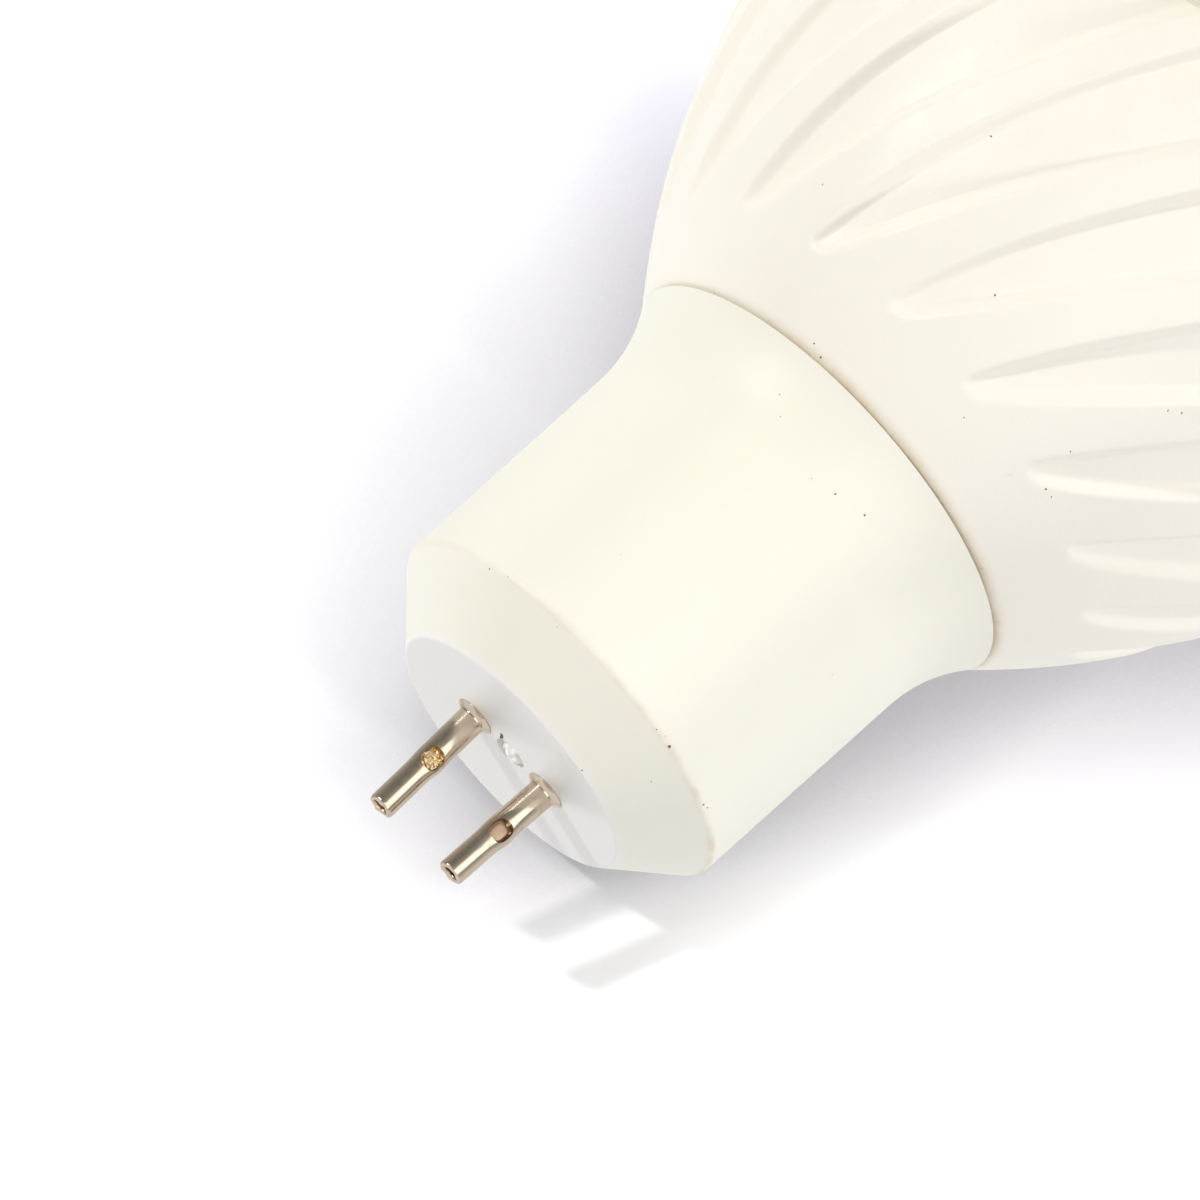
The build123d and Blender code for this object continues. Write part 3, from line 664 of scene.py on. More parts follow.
def turned_mesh(name: str, rows: np.ndarray, angles: np.ndarray) -> bpy.types.Mesh:
    """Turns a profile, whose two ends lie on the axis, into a closed mesh.

    Args:
        name: Name of the mesh.
        rows: Radius and level of each profile point, with the two ends left out where a pole goes.
        angles: Angle of each column, all round.

    Returns:
        A mesh with the rows' points in order, column by column, then the first and the last pole.
    """
    columns = len(angles)
    ring = np.stack([np.cos(angles), np.sin(angles)], axis=1)
    inner = rows[1:-1]
    points = np.concatenate(
        [np.column_stack([ring * radius, np.full(columns, level)]) for radius, level in inner]
        + [np.array([[0.0, 0.0, rows[0][1]], [0.0, 0.0, rows[-1][1]]])]
    )
    count = len(inner)
    first_pole, last_pole = count * columns, count * columns + 1
    faces: list[tuple[int, ...]] = []
    for row in range(count - 1):
        for column in range(columns):
            following = (column + 1) % columns
            low, high = row * columns, (row + 1) * columns
            faces.append((low + column, low + following, high + following, high + column))
    for column in range(columns):
        following = (column + 1) % columns
        last = (count - 1) * columns
        faces.append((first_pole, following, column))
        faces.append((last_pole, last + column, last + following))
    mesh = bpy.data.meshes.new(name)
    mesh.from_pydata(points.tolist(), [], faces)
    shell = bmesh.new()
    shell.from_mesh(mesh)
    bmesh.ops.recalc_face_normals(shell, faces=shell.faces)
    shell.to_mesh(mesh)
    shell.free()
    return mesh


def arc_rows(centre: Range, radius: float, start: float, end: float, count: int) -> np.ndarray:
    """Points of an arc in a profile.

    Args:
        centre: Radius and level of the arc's centre.
        radius: Its own radius.
        start: First angle, in degrees from the outward direction.
        end: Last angle.
        count: Number of points.

    Returns:
        The points, from start to end.
    """
    turns = np.radians(np.linspace(start, end, count))
    return np.column_stack([centre[0] + radius * np.cos(turns), centre[1] + radius * np.sin(turns)])


def angles_round(count: int) -> np.ndarray:
    """Returns evenly spaced angles, all round."""
    return np.arange(count) * 2 * math.pi / count


def smoothstep(start: float, end: float, value: float) -> float:
    """Returns a smooth rise from 0 at start to 1 at end."""
    share = min(1.0, max(0.0, (value - start) / (end - start)))
    return share * share * (3 - 2 * share)


def give_values(mesh: bpy.types.Mesh, name: str, values: np.ndarray, kind: str = "FLOAT") -> None:
    """Gives each point of a mesh a named value.

    Args:
        mesh: The mesh.
        name: Name of the value.
        values: The numbers, point by point.
        kind: FLOAT or FLOAT_VECTOR.
    """
    layer = mesh.attributes.new(name, kind, "POINT")
    layer.data.foreach_set("value" if kind == "FLOAT" else "vector", values)


def plain_result(piece: bpy.types.Object, modifier: bpy.types.Modifier) -> None:
    """Keeps the result of a piece's one modifier as its plain mesh.

    Args:
        piece: The piece.
        modifier: Its modifier, which is removed.
    """
    graph = bpy.context.evaluated_depsgraph_get()
    mesh = bpy.data.meshes.new_from_object(piece.evaluated_get(graph))
    piece.modifiers.remove(modifier)
    piece.data = mesh


def bake_nodes(
    piece: bpy.types.Object, tree: bpy.types.NodeTree, material: bpy.types.Material, used_up: tuple[str, ...]
) -> None:
    """Runs a geometry node tree on a piece once and keeps the result as its plain mesh.

    Args:
        piece: The piece, whose mesh goes into the tree.
        tree: The tree. Its Material input gets the material.
        material: The finish.
        used_up: Attributes that only the tree needs.
    """
    modifier = piece.modifiers.new(tree.name, "NODES")
    modifier.node_group = tree
    for socket in tree.interface.items_tree:
        if socket.in_out == "INPUT" and socket.socket_type in ("NodeSocketFloat", "NodeSocketInt"):
            modifier[socket.identifier] = socket.default_value
        if socket.in_out == "INPUT" and socket.socket_type == "NodeSocketMaterial":
            modifier[socket.identifier] = material
    plain_result(piece, modifier)
    for label in used_up:
        layer = piece.data.attributes.get(label)
        if layer:
            piece.data.attributes.remove(layer)


def skin_of(obj: bpy.types.Object) -> BVHTree:
    """Returns the surface of an object for finding places on it."""
    corners = [obj.matrix_world @ vertex.co for vertex in obj.data.vertices]
    return BVHTree.FromPolygons(corners, [tuple(face.vertices) for face in obj.data.polygons])


@dataclass
class FlutePattern:
    """Shallow flutes that swirl down a bell and widen on the way, and the node tree that presses them."""

    count: int = 18
    swirl: float = math.radians(29.5)
    start: float = 3.65 * MM  # bell's top down to the tips
    tip_width: float = 0.9 * MM
    full_width: float = 6.4 * MM
    spread: float = 10.0 * MM  # length over which a flute widens
    depth: float = 0.65 * MM
    run_in: float = 1.0 * MM  # length over which a flute deepens
    lower_wall: float = 1.3 * MM
    upper_wall: float = 0.7 * MM
    tip_wall_share: float = 0.8
    tip_rounding: float = 0.5 * MM
    lead_in: float = 0.75 * MM
    half_columns: int = 13
    floor_columns: int = 4
    wall_columns: int = 6

    def columns(self) -> tuple[np.ndarray, np.ndarray]:
        """Spreads the columns of a shell over the flutes.

        Returns:
            The middle angle of each column's flute, and its place across that flute from -1 to 1.
        """
        across = np.arange(-self.half_columns, self.half_columns) / self.half_columns
        return np.repeat(angles_round(self.count), len(across)), np.tile(across, self.count)

    def tree(self, curve_radius: float, centre: Range, tip_level: float) -> bpy.types.NodeTree:
        """Builds the node tree that swirls a shell's columns and presses the flutes into its skin.

        Args:
            curve_radius: Radius of the bell's curve.
            centre: Radius and level of that curve's centre.
            tip_level: Level of the flute tips.

        Returns:
            The tree, with each size as a named input.
        """
        sizes = {
            "Half Sector": math.pi / self.count,
            "Swirl Slope": math.tan(self.swirl),
            "Tip Level": tip_level,
            "Tip Width": self.tip_width,
            "Full Width": self.full_width,
            "Spread": self.spread,
            "Depth": self.depth,
            "Run In": self.run_in,
            "Lower Wall": self.lower_wall,
            "Upper Wall": self.upper_wall,
            "Tip Wall Share": self.tip_wall_share,
            "Tip Rounding": self.tip_rounding,
            "Floor Share": self.floor_columns / self.half_columns,
            "Wall Share": (self.floor_columns + self.wall_columns) / self.half_columns,
            "Curve Radius": curve_radius,
            "Centre Radius": centre[0],
            "Centre Level": centre[1],
        }
        sheet = GeometrySheet("swirl_flutes", sizes)
        given = sheet.given
        x, y, level = sheet.split(sheet.read("GeometryNodeInputPosition"))
        across = sheet.point_value("across")
        side = sheet.math("SIGN", across)
        share = sheet.math("ABSOLUTE", across)

        # The way down from the tip, and the bell's radius there
        run = sheet.math("MAXIMUM", sheet.minus(given["Tip Level"], level), 0.0)
        lift = sheet.minus(level, given["Centre Level"])
        flank = sheet.math("SQRT", sheet.minus(sheet.square(given["Curve Radius"]), sheet.square(lift)))
        bell = sheet.plus(given["Centre Radius"], flank)

        # Angles that the flute's floor, its walls and the land beside it take up
        widening = sheet.minus(1.0, self.decay(sheet, run, given["Spread"]))
        growth = sheet.times(sheet.minus(given["Full Width"], given["Tip Width"]), widening)
        width = sheet.plus(given["Tip Width"], growth)
        near_tip = sheet.minus(1.0, sheet.remap(run, (0.0, given["Tip Rounding"]), (0.0, 1.0)))
        rounding = sheet.math("SQRT", sheet.minus(1.0, sheet.square(near_tip)))
        half = sheet.times(sheet.times(width, 0.5), rounding)
        deepening = sheet.minus(1.0, self.decay(sheet, run, given["Run In"]))
        full_wall = sheet.remap(side, (-1.0, 1.0), (given["Lower Wall"], given["Upper Wall"]))
        wall_growth = sheet.remap(deepening, (0.0, 1.0), (given["Tip Wall Share"], 1.0))
        wall = sheet.times(full_wall, wall_growth)
        floor_half = sheet.math("MAXIMUM", sheet.minus(half, sheet.times(wall, 0.5)), 0.0)
        floor_turn = sheet.math("DIVIDE", floor_half, bell)
        wall_turn = sheet.math("DIVIDE", wall, bell)
        land_turn = sheet.minus(sheet.minus(given["Half Sector"], floor_turn), wall_turn)

        # Where the column goes round the axis
        walls = (given["Floor Share"], given["Wall Share"])
        left_of_floor = sheet.remap(share, (0.0, given["Floor Share"]), (1.0, 0.0))
        floor_part = sheet.times(floor_turn, sheet.minus(1.0, sheet.square(left_of_floor)))
        wall_part = sheet.remap(share, walls, (0.0, wall_turn))
        onto_land = sheet.remap(share, (given["Wall Share"], 1.0), (0.0, 1.0))
        land_part = sheet.times(land_turn, sheet.square(onto_land))
        off_middle = sheet.plus(sheet.plus(floor_part, wall_part), land_part)
        straight = sheet.plus(sheet.point_value("middle"), sheet.times(side, off_middle))
        turn = sheet.minus(straight, sheet.times(sheet.point_value("unrolled"), given["Swirl Slope"]))

        # How far the skin is pressed in
        wall_shape = sheet.remap(share, walls, (1.0, 0.0), "SMOOTHSTEP")
        pressed = sheet.times(sheet.times(given["Depth"], wall_shape), deepening)
        reach = sheet.math("SQRT", sheet.plus(sheet.square(x), sheet.square(y)))
        radius = sheet.minus(reach, sheet.times(pressed, sheet.point_value("skin")))
        place = sheet.join(
            sheet.times(radius, sheet.math("COSINE", turn)),
            sheet.times(radius, sheet.math("SINE", turn)),
            level,
        )
        shaped = sheet.moved(given["Geometry"], Position=place)
        return sheet.hand_out(sheet.whole(shaped))

    @staticmethod
    def decay(sheet: NodeSheet, run: SocketValue, length: SocketValue) -> bpy.types.NodeSocket:
        """Returns a value that falls from 1 towards 0 over a length."""
        return sheet.math("EXPONENT", sheet.math("DIVIDE", sheet.times(run, -1.0), length))


@dataclass
class HeatSink:
    """The cast bell: its turned shell with the swirled flutes in its skin."""

    flutes: FlutePattern
    seam_radius: float = 13.1 * MM
    edge_rounding: float = 1.0 * MM
    curve_radius: float = 46.4 * MM
    wall: float = 1.9 * MM
    neck_radius: float = 11.45 * MM
    neck_depth: float = 4.85 * MM
    floor_thickness: float = 2.5 * MM
    rim_step: float = 0.75 * MM
    rim_thickness: float = 3.0 * MM
    rim_rounding: float = 0.5 * MM
    mouth_wall: float = 1.9 * MM
    mouth_depth: float = 2.3 * MM
    fine_row: float = 0.16 * MM
    coarse_row: float = 0.42 * MM
    fine_reach: float = 5.0 * MM  # flute tips down to the coarse rows
    edge_rows: int = 10
    rim_rows: int = 7
    cavity_rows: int = 14
    unroll_steps: int = 400

    def __post_init__(self) -> None:
        """Takes the casting's reach from the frame and works out the bell's curve."""
        low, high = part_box("heat_sink")
        self.top, self.front, self.rim_radius = high.z, low.z, high.x
        self.rim_back = self.front + self.rim_thickness
        self.mouth_radius = self.rim_radius - self.mouth_wall
        upper = Vector((self.seam_radius, self.top))
        lower = Vector((self.rim_radius - self.rim_step, self.rim_back))
        chord = lower - upper
        inward = Vector((chord.y, -chord.x)).normalized()
        rise = math.sqrt(self.curve_radius**2 - chord.length_squared / 4)
        self.centre = (upper + lower) / 2 + inward * rise
        self.tip_level = self.top - self.flutes.start
        edge_lift = self.top - self.edge_rounding - self.centre.y
        edge_reach = math.sqrt((self.curve_radius - self.edge_rounding) ** 2 - edge_lift**2)
        self.edge_centre = (self.centre.x + edge_reach, self.centre.y + edge_lift)
        self.edge_turn = math.atan2(edge_lift, edge_reach)

    def radius_at(self, level: float, inset: float = 0.0) -> float:
        """Returns the bell's radius at a level, on its skin or on a surface set in from it."""
        return self.centre.x + math.sqrt((self.curve_radius - inset) ** 2 - (level - self.centre.y) ** 2)

    def skin_levels(self) -> np.ndarray:
        """Works out the levels of the skin's rows, which are finer around the flute tips.

        Returns:
            The levels, from the top down.
        """
        start = self.centre.y + self.curve_radius * math.sin(self.edge_turn) - self.fine_row
        fine = np.arange(start, self.tip_level - self.fine_reach, -self.fine_row)
        rows = int((fine[-1] - self.rim_back) / self.coarse_row)
        coarse = np.linspace(fine[-1] - self.fine_row, self.rim_back, rows)
        return np.concatenate([fine, coarse])

    def profile(self) -> tuple[np.ndarray, np.ndarray]:
        """Works out the profile from the floor's back, over the skin and the rim, to the floor's front.

        Returns:
            Radius and level of each row, and 1 for each row on the fluted skin.
        """
        floor_back = self.top - self.neck_depth
        floor_front = floor_back - self.floor_thickness
        shoulder = self.front + self.mouth_depth
        before = [(0.0, floor_back), (self.neck_radius, floor_back), (self.neck_radius, self.top)]
        edge_turn = math.degrees(self.edge_turn)
        edge = arc_rows(self.edge_centre, self.edge_rounding, 90, edge_turn, self.edge_rows)
        skin = np.array([(self.radius_at(z), z) for z in self.skin_levels()])
        rim_centre = (self.rim_radius - self.rim_rounding, self.rim_back - self.rim_rounding)
        rim = arc_rows(rim_centre, self.rim_rounding, 90, 0, self.rim_rows)
        mouth = [
            (self.rim_radius, self.front),
            (self.mouth_radius, self.front),
            (self.mouth_radius, shoulder),
        ]
        cavity_levels = np.linspace(shoulder, floor_front, self.cavity_rows)
        cavity = np.array([(self.radius_at(z, self.wall), z) for z in cavity_levels])
        rows = np.concatenate([before, edge, skin, rim, mouth, cavity, [(0.0, floor_front)]])
        fluted = np.zeros(len(rows))
        first = len(before) + len(edge)
        fluted[first : first + len(skin)] = 1.0
        return rows, fluted

    def unrolled(self, levels: np.ndarray) -> np.ndarray:
        """Works out how far a flute of 45 degrees would turn on its way down.

        Args:
            levels: Where that is asked.

        Returns:
            The angle at each level.
        """
        start = self.tip_level + self.flutes.lead_in
        steps = np.linspace(start, self.rim_back, self.unroll_steps)
        radii = np.array([self.radius_at(z) for z in steps])
        climbs = np.hypot(np.diff(steps), np.diff(radii)) / ((radii[1:] + radii[:-1]) / 2)
        turns = np.concatenate([[0.0], np.cumsum(climbs)])
        return np.interp(-levels, -steps, turns)

    def build(self, cabinet: Cabinet) -> bpy.types.Object:
        """Makes the casting in place of its CAD node.

        Args:
            cabinet: Where the finishes come from.

        Returns:
            The new piece.
        """
        rows, fluted = self.profile()
        middles, across = self.flutes.columns()
        mesh = turned_mesh("fluted_bell", rows, middles + across * math.pi / self.flutes.count)
        inner, columns = len(rows) - 2, len(across)
        values = {
            "middle": np.tile(middles, inner),
            "across": np.tile(across, inner),
            "unrolled": np.repeat(self.unrolled(rows[1:-1, 1]), columns),
            "skin": np.repeat(fluted[1:-1], columns),
        }
        poles = [0.0, 0.0]
        for label, numbers in values.items():
            give_values(mesh, label, np.concatenate([numbers, poles]))
        piece = place_mesh("fluted_bell", mesh)
        tree = self.flutes.tree(self.curve_radius, (self.centre.x, self.centre.y), self.tip_level)
        bake_nodes(piece, tree, cabinet.take(Part.SINK), tuple(values))
        smooth(piece.data)
        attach(piece, BODY)
        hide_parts("heat_sink")
        return piece


@dataclass
class ContactPin:
    """One hollow pin: a flared foot, a crimp hole in its front, a slimmer end and a rough, open tip."""

    node: str
    crimp_depth: float
    crimp_noise: float = 0.0  # unevenness of the wire ends in the crimp
    gold: float = 0.0  # how bright the wire ends are
    lean: float = 0.0  # how far the tip stands off towards the other pin
    longer: float = 0.0
    hole_radius: float = 0.79 * MM
    radius: float = 0.825 * MM
    slim_radius: float = 0.77 * MM
    slim_start: float = 3.3 * MM
    slim_end: float = 4.5 * MM
    bulge: float = 0.05 * MM
    bulge_reach: float = 0.45 * MM
    bulge_side: Colour = (-1.0, 0.0, 0.0)
    flare_height: float = 0.40 * MM
    flare_edge: float = 0.05 * MM
    flare_power: float = 2.2
    flare_rows: int = 10
    bore: float = 0.44 * MM
    bore_depth: float = 1.3 * MM
    bore_margin: float = 0.1 * MM
    bore_rows: int = 12
    past_bore: float = 1.02  # share of the bore's radius, past which a point is on the skin
    in_bore: float = 1.06  # share of the bore's radius, within which a point is in the bore
    tip_rounding: float = 0.24 * MM
    tip_arc: Range = (170.0, 10.0)  # degrees, from the bore to the outside
    tip_rows: int = 13
    tip_noise: float = 0.10 * MM
    tip_grain: float = 0.34 * MM
    tip_wear: float = 0.6
    crimp_height: float = 3.42 * MM
    crimp_heading: float = math.radians(-102.0)
    crimp_radius: float = 0.56 * MM
    crimp_stretch: float = 1.12  # length of the crimp for its width
    crimp_squareness: float = 2.8
    crimp_rim: float = 1.05  # share of the crimp's radius, within which a point is in the crimp
    crimp_groove: float = 0.10 * MM  # how much deeper the crimp is along its rim
    crimp_rings: int = 15
    crimp_columns: int = 48
    wire_end: float = 0.20 * MM
    wire_grain: float = 0.09 * MM
    wire_grain_share: float = 0.6
    floor_shine: float = 0.38
    floor_band: Range = (0.12 * MM, 0.05 * MM)  # heights between which the crimp's floor begins
    hollow_band: Range = (0.02 * MM, 0.14 * MM)  # depths between which the hollow's colour sets in
    dent: float = 0.10 * MM
    dent_reach: float = 0.80 * MM
    dent_focus: int = 6
    columns: int = 128
    row: float = 0.06 * MM

    def __post_init__(self) -> None:
        """Takes the pin's place from the frame."""
        low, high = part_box(self.node)
        self.x = (low.x + high.x) / 2
        self.flare_radius = (high.x - low.x) / 2
        self.tail, self.tip = low.z, high.z + self.longer
        self.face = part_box("base_collar")[1].z
        self.crimp_side = Vector((math.cos(self.crimp_heading), math.sin(self.crimp_heading), 0.0))
        self.crimp_across = UP.cross(self.crimp_side)

    def shaft_radius(self, height: float) -> float:
        """Returns the shaft's radius at a height above the end face."""
        slimming = smoothstep(self.slim_start, self.slim_end, height)
        return self.radius - (self.radius - self.slim_radius) * slimming

    def profile(self) -> np.ndarray:
        """Works out the profile from the bottom of the bore, over the tip, down to the tail.

        Returns:
            Radius and level of each row.
        """
        shoulder = self.tip - self.tip_rounding
        bore_levels = np.linspace(self.tip - self.bore_depth, shoulder, self.bore_rows)
        bore = np.column_stack([np.full(self.bore_rows, self.bore), bore_levels])
        lip_middle = (self.slim_radius + self.bore) / 2
        half_lip = (self.slim_radius - self.bore) / 2
        turns = np.radians(np.linspace(*self.tip_arc, self.tip_rows))
        lip_levels = shoulder + self.tip_rounding * np.sin(turns)
        lip = np.column_stack([lip_middle + half_lip * np.cos(turns), lip_levels])
        levels = np.arange(shoulder, self.face + self.flare_height, -self.row)
        shaft = np.array([(self.shaft_radius(z - self.face), z) for z in levels])
        heights = np.linspace(self.flare_height, self.flare_edge, self.flare_rows)
        climb = (heights - self.flare_edge) / (self.flare_height - self.flare_edge)
        flare_radii = self.radius + (self.flare_radius - self.radius) * (1 - climb) ** self.flare_power
        flare = np.column_stack([flare_radii, self.face + heights])
        foot = [
            (self.flare_radius, self.face),
            (self.hole_radius, self.face),
            (self.hole_radius, self.tail),
            (0.0, self.tail),
        ]
        return np.concatenate([[(0.0, bore_levels[0])], bore, lip, shaft, flare, foot])

    def build(self, cabinet: Cabinet) -> bpy.types.Object:
        """Makes the pin in place of its CAD node.

        Args:
            cabinet: Where the finishes come from.

        Returns:
            The new piece.
        """
        mesh = turned_mesh(self.node + "_worn", self.profile(), angles_round(self.columns))
        for vertex in mesh.vertices:
            vertex.co = self.pressed(vertex.co)
        piece = place_mesh(self.node + "_worn", mesh)
        self.cut_crimp(piece)
        hollow = np.array([self.hollow_at(vertex.co) for vertex in piece.data.vertices])
        give_values(piece.data, "hollow", hollow)
        give_values(piece.data, "gold", self.gold * hollow)
        for vertex in piece.data.vertices:
            lifted = max(0.0, vertex.co.z - self.face) / (self.tip - self.face)
            vertex.co.x += self.x - math.copysign(self.lean, self.x) * lifted
        smooth(piece.data)
        cabinet.dress(piece, Part.PIN)
        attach(piece, BODY)
        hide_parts(self.node)
        return piece

    def off_crimp(self, point: Vector) -> float:
        """Measures how far a point is from the crimp's middle.

        Args:
            point: A point of the pin turned about the origin.

        Returns:
            The distance, in lengths of the crimp's radius.
        """
        across = abs(self.crimp_across.dot(point)) / self.crimp_radius
        along = abs(point.z - self.face - self.crimp_height) / (self.crimp_stretch * self.crimp_radius)
        power = self.crimp_squareness
        return (across**power + along**power) ** (1 / power)

    def pressed(self, point: Vector) -> Vector:
        """Dishes one point of the shaft round the crimp, swells it beside the crimp and roughens the tip.

        Args:
            point: A point of the pin turned about the origin.

        Returns:
            Where the point goes.
        """
        height = point.z - self.face
        if height > self.flare_height and point.xy.length > self.bore * self.past_bore:
            outward = Vector((point.x, point.y, 0.0)).normalized()
            off = height - self.crimp_height
            beside = max(0.0, outward.dot(Vector(self.bulge_side))) ** 2
            swell = self.bulge * beside * math.exp(-((off / self.bulge_reach) ** 2))
            facing = max(0.0, outward.dot(self.crimp_side)) ** self.dent_focus
            sink = self.dent * facing * math.exp(-((off / self.dent_reach) ** 2))
            point = point + outward * (swell - sink)
        near_tip = smoothstep(self.tip - 2.0 * self.tip_rounding, self.tip, point.z)
        if near_tip > 0.0:
            torn = noise.noise(Vector((point.x, point.y, self.x)) / self.tip_grain)
            point = point - UP * (near_tip * self.tip_noise * (self.tip_wear + torn))
        return point

    def cut_crimp(self, piece: bpy.types.Object) -> None:
        """Cuts the crimp hole, whose bottom is rough where wire ends fill it.

        Args:
            piece: The pin, turned about the origin.
        """
        floor, outside = self.radius - self.crimp_depth, 2 * self.radius
        rings = [(self.crimp_radius * share, floor) for share in np.linspace(0.0, 1.0, self.crimp_rings)]
        rows = np.array(rings + [(self.crimp_radius, outside), (0.0, outside)])
        mesh = turned_mesh("crimp_cutter", rows, angles_round(self.crimp_columns))
        for vertex in mesh.vertices:
            vertex.co = self.crimp_point(*vertex.co)
        cutter = place_mesh("crimp_cutter", mesh)
        modifier = piece.modifiers.new("crimp", "BOOLEAN")
        modifier.operation = "DIFFERENCE"
        modifier.object = cutter
        plain_result(piece, modifier)
        bpy.data.objects.remove(cutter)

    def crimp_point(self, across: float, along: float, depth: float) -> Vector:
        """Moves one point of the crimp's cutter from its round form to its place on the pin.

        Args:
            across: Place across the pin, from the crimp's middle.
            along: Place along the pin, from the crimp's middle.
            depth: Distance from the pin's axis.

        Returns:
            The point's place, which is squared off, and rough on the crimp's floor.
        """
        share = math.hypot(across, along) / self.crimp_radius
        if share > 0.0:
            turn = math.atan2(along, across)
            power = self.crimp_squareness
            square = (abs(math.cos(turn)) ** power + abs(math.sin(turn)) ** power) ** (-1 / power)
            across, along = across * square, self.crimp_stretch * along * square
        if depth < self.radius:
            spot = Vector((across, along, self.x))
            grain = self.wire_grain_share * noise.noise(spot / self.wire_grain)
            crumple = noise.noise(spot / self.wire_end) + grain
            depth += self.crimp_noise * crumple - self.crimp_groove * share**4
        middle = UP * (self.face + self.crimp_height + along)
        return middle + self.crimp_across * across + self.crimp_side * depth

    def hollow_at(self, point: Vector) -> float:
        """Finds how far a point lies in the crimp or the bore.

        Args:
            point: A point of the pin turned about the origin.

        Returns:
            A value from 0 on the skin to 1.
        """
        if point.z > self.tip - self.bore_depth - self.bore_margin:
            inside = point.xy.length < self.bore * self.in_bore
            return smoothstep(0.0, 2 * self.tip_rounding, self.tip - point.z) if inside else 0.0
        reach = self.crimp_side.dot(point)
        if reach < 0.0 or self.off_crimp(point) > self.crimp_rim:
            return 0.0
        sunk = self.shaft_radius(point.z - self.face) - self.dent - point.xy.length
        floor = smoothstep(*self.floor_band, reach - self.radius + self.crimp_depth)
        shine = self.floor_shine * (1.0 - self.gold) * floor
        return smoothstep(*self.hollow_band, sunk) * (1.0 - shine)


@dataclass
class GateMark:
    """The broken stub of the moulding's gate, in the recess of the end face."""

    centre: tuple[float, float] = (-0.10 * MM, 0.03 * MM)
    radius: float = 0.84 * MM
    recess: float = 0.3 * MM
    bed: float = 0.02 * MM  # how far the stub goes into the recess's floor
    height: float = 0.38 * MM
    least_height: float = 0.01 * MM
    bluntness: int = 5
    roughness: float = 0.11 * MM
    tear: float = 0.30 * MM
    fine_tear: float = 0.13 * MM
    fine_share: float = 0.5
    lobe: float = 0.16
    lobe_scale: float = 1.4
    lobe_plane: float = 4.0  # where the noise of the lobes is cut
    rings: int = 14
    columns: int = 64

    def torn(self, x: float, y: float) -> float:
        """Returns how far the torn top stands up or down at a place, about from -1 to 1."""
        fine = noise.noise(Vector((y, x, 1.0)) / self.fine_tear)
        return noise.noise(Vector((x, y, 0.0)) / self.tear) + self.fine_share * fine

    def lobed(self, x: float, y: float) -> float:
        """Returns how much wider than its radius the stub is in the direction of a place."""
        turn = math.atan2(y, x)
        spot = Vector((math.cos(turn), math.sin(turn), self.lobe_plane))
        return 1.0 + self.lobe * noise.noise(spot * self.lobe_scale)

    def build(self, cabinet: Cabinet) -> bpy.types.Object:
        """Makes the stub as a low, torn mound.

        Args:
            cabinet: Where the finishes come from.

        Returns:
            The new piece.
        """
        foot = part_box("base_collar")[1].z - self.recess
        shares = np.linspace(0.0, 1.0, self.rings)
        mound = [(self.radius * share, foot + self.height * (1 - share**self.bluntness)) for share in shares]
        rows = np.array(mound + [(self.radius, foot - self.bed), (0.0, foot - self.bed)])
        mesh = turned_mesh("gate_stub", rows, angles_round(self.columns))
        for vertex in mesh.vertices:
            x, y, z = vertex.co
            if z > foot:
                z = max(foot + self.least_height, z + self.torn(x, y) * self.roughness)
            lobed = self.lobed(x, y)
            vertex.co = (self.centre[0] + x * lobed, self.centre[1] + y * lobed, z)
        smooth(mesh)
        piece = place_mesh("gate_stub", mesh)
        cabinet.dress(piece, Part.TORN)
        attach(piece, BODY)
        return piece


@dataclass(frozen=True)
class Crumb:
    """One crumb of dirt, in degrees and millimetres.

    It lies at a level on the side that faces a heading, or on the end face at a reach from the axis.
    """

    heading: float
    level: float
    size: float
    reach: float = 0.0

    def landing(self, skins: list[BVHTree], top: float, far: float, above: float) -> tuple[Vector, Vector]:
        """Finds where the crumb lies.

        Args:
            skins: The surfaces that it can lie on.
            top: Level of the end face.
            far: Distance from the axis at which a crumb on a side starts.
            above: Height over the end face at which a crumb there starts.

        Returns:
            The place, and the direction away from the surface there.
        """
        turn = math.radians(self.heading)
        outward = Vector((math.cos(turn), math.sin(turn), 0.0))
        start, fall = outward * far + UP * (self.level * MM), -outward
        if self.reach:
            start, fall = outward * (self.reach * MM) + UP * (top + above), -UP
        hits = [skin.ray_cast(start, fall) for skin in skins]
        place, facing, _, _ = min((hit for hit in hits if hit[0] is not None), key=lambda hit: hit[3])
        return place, facing


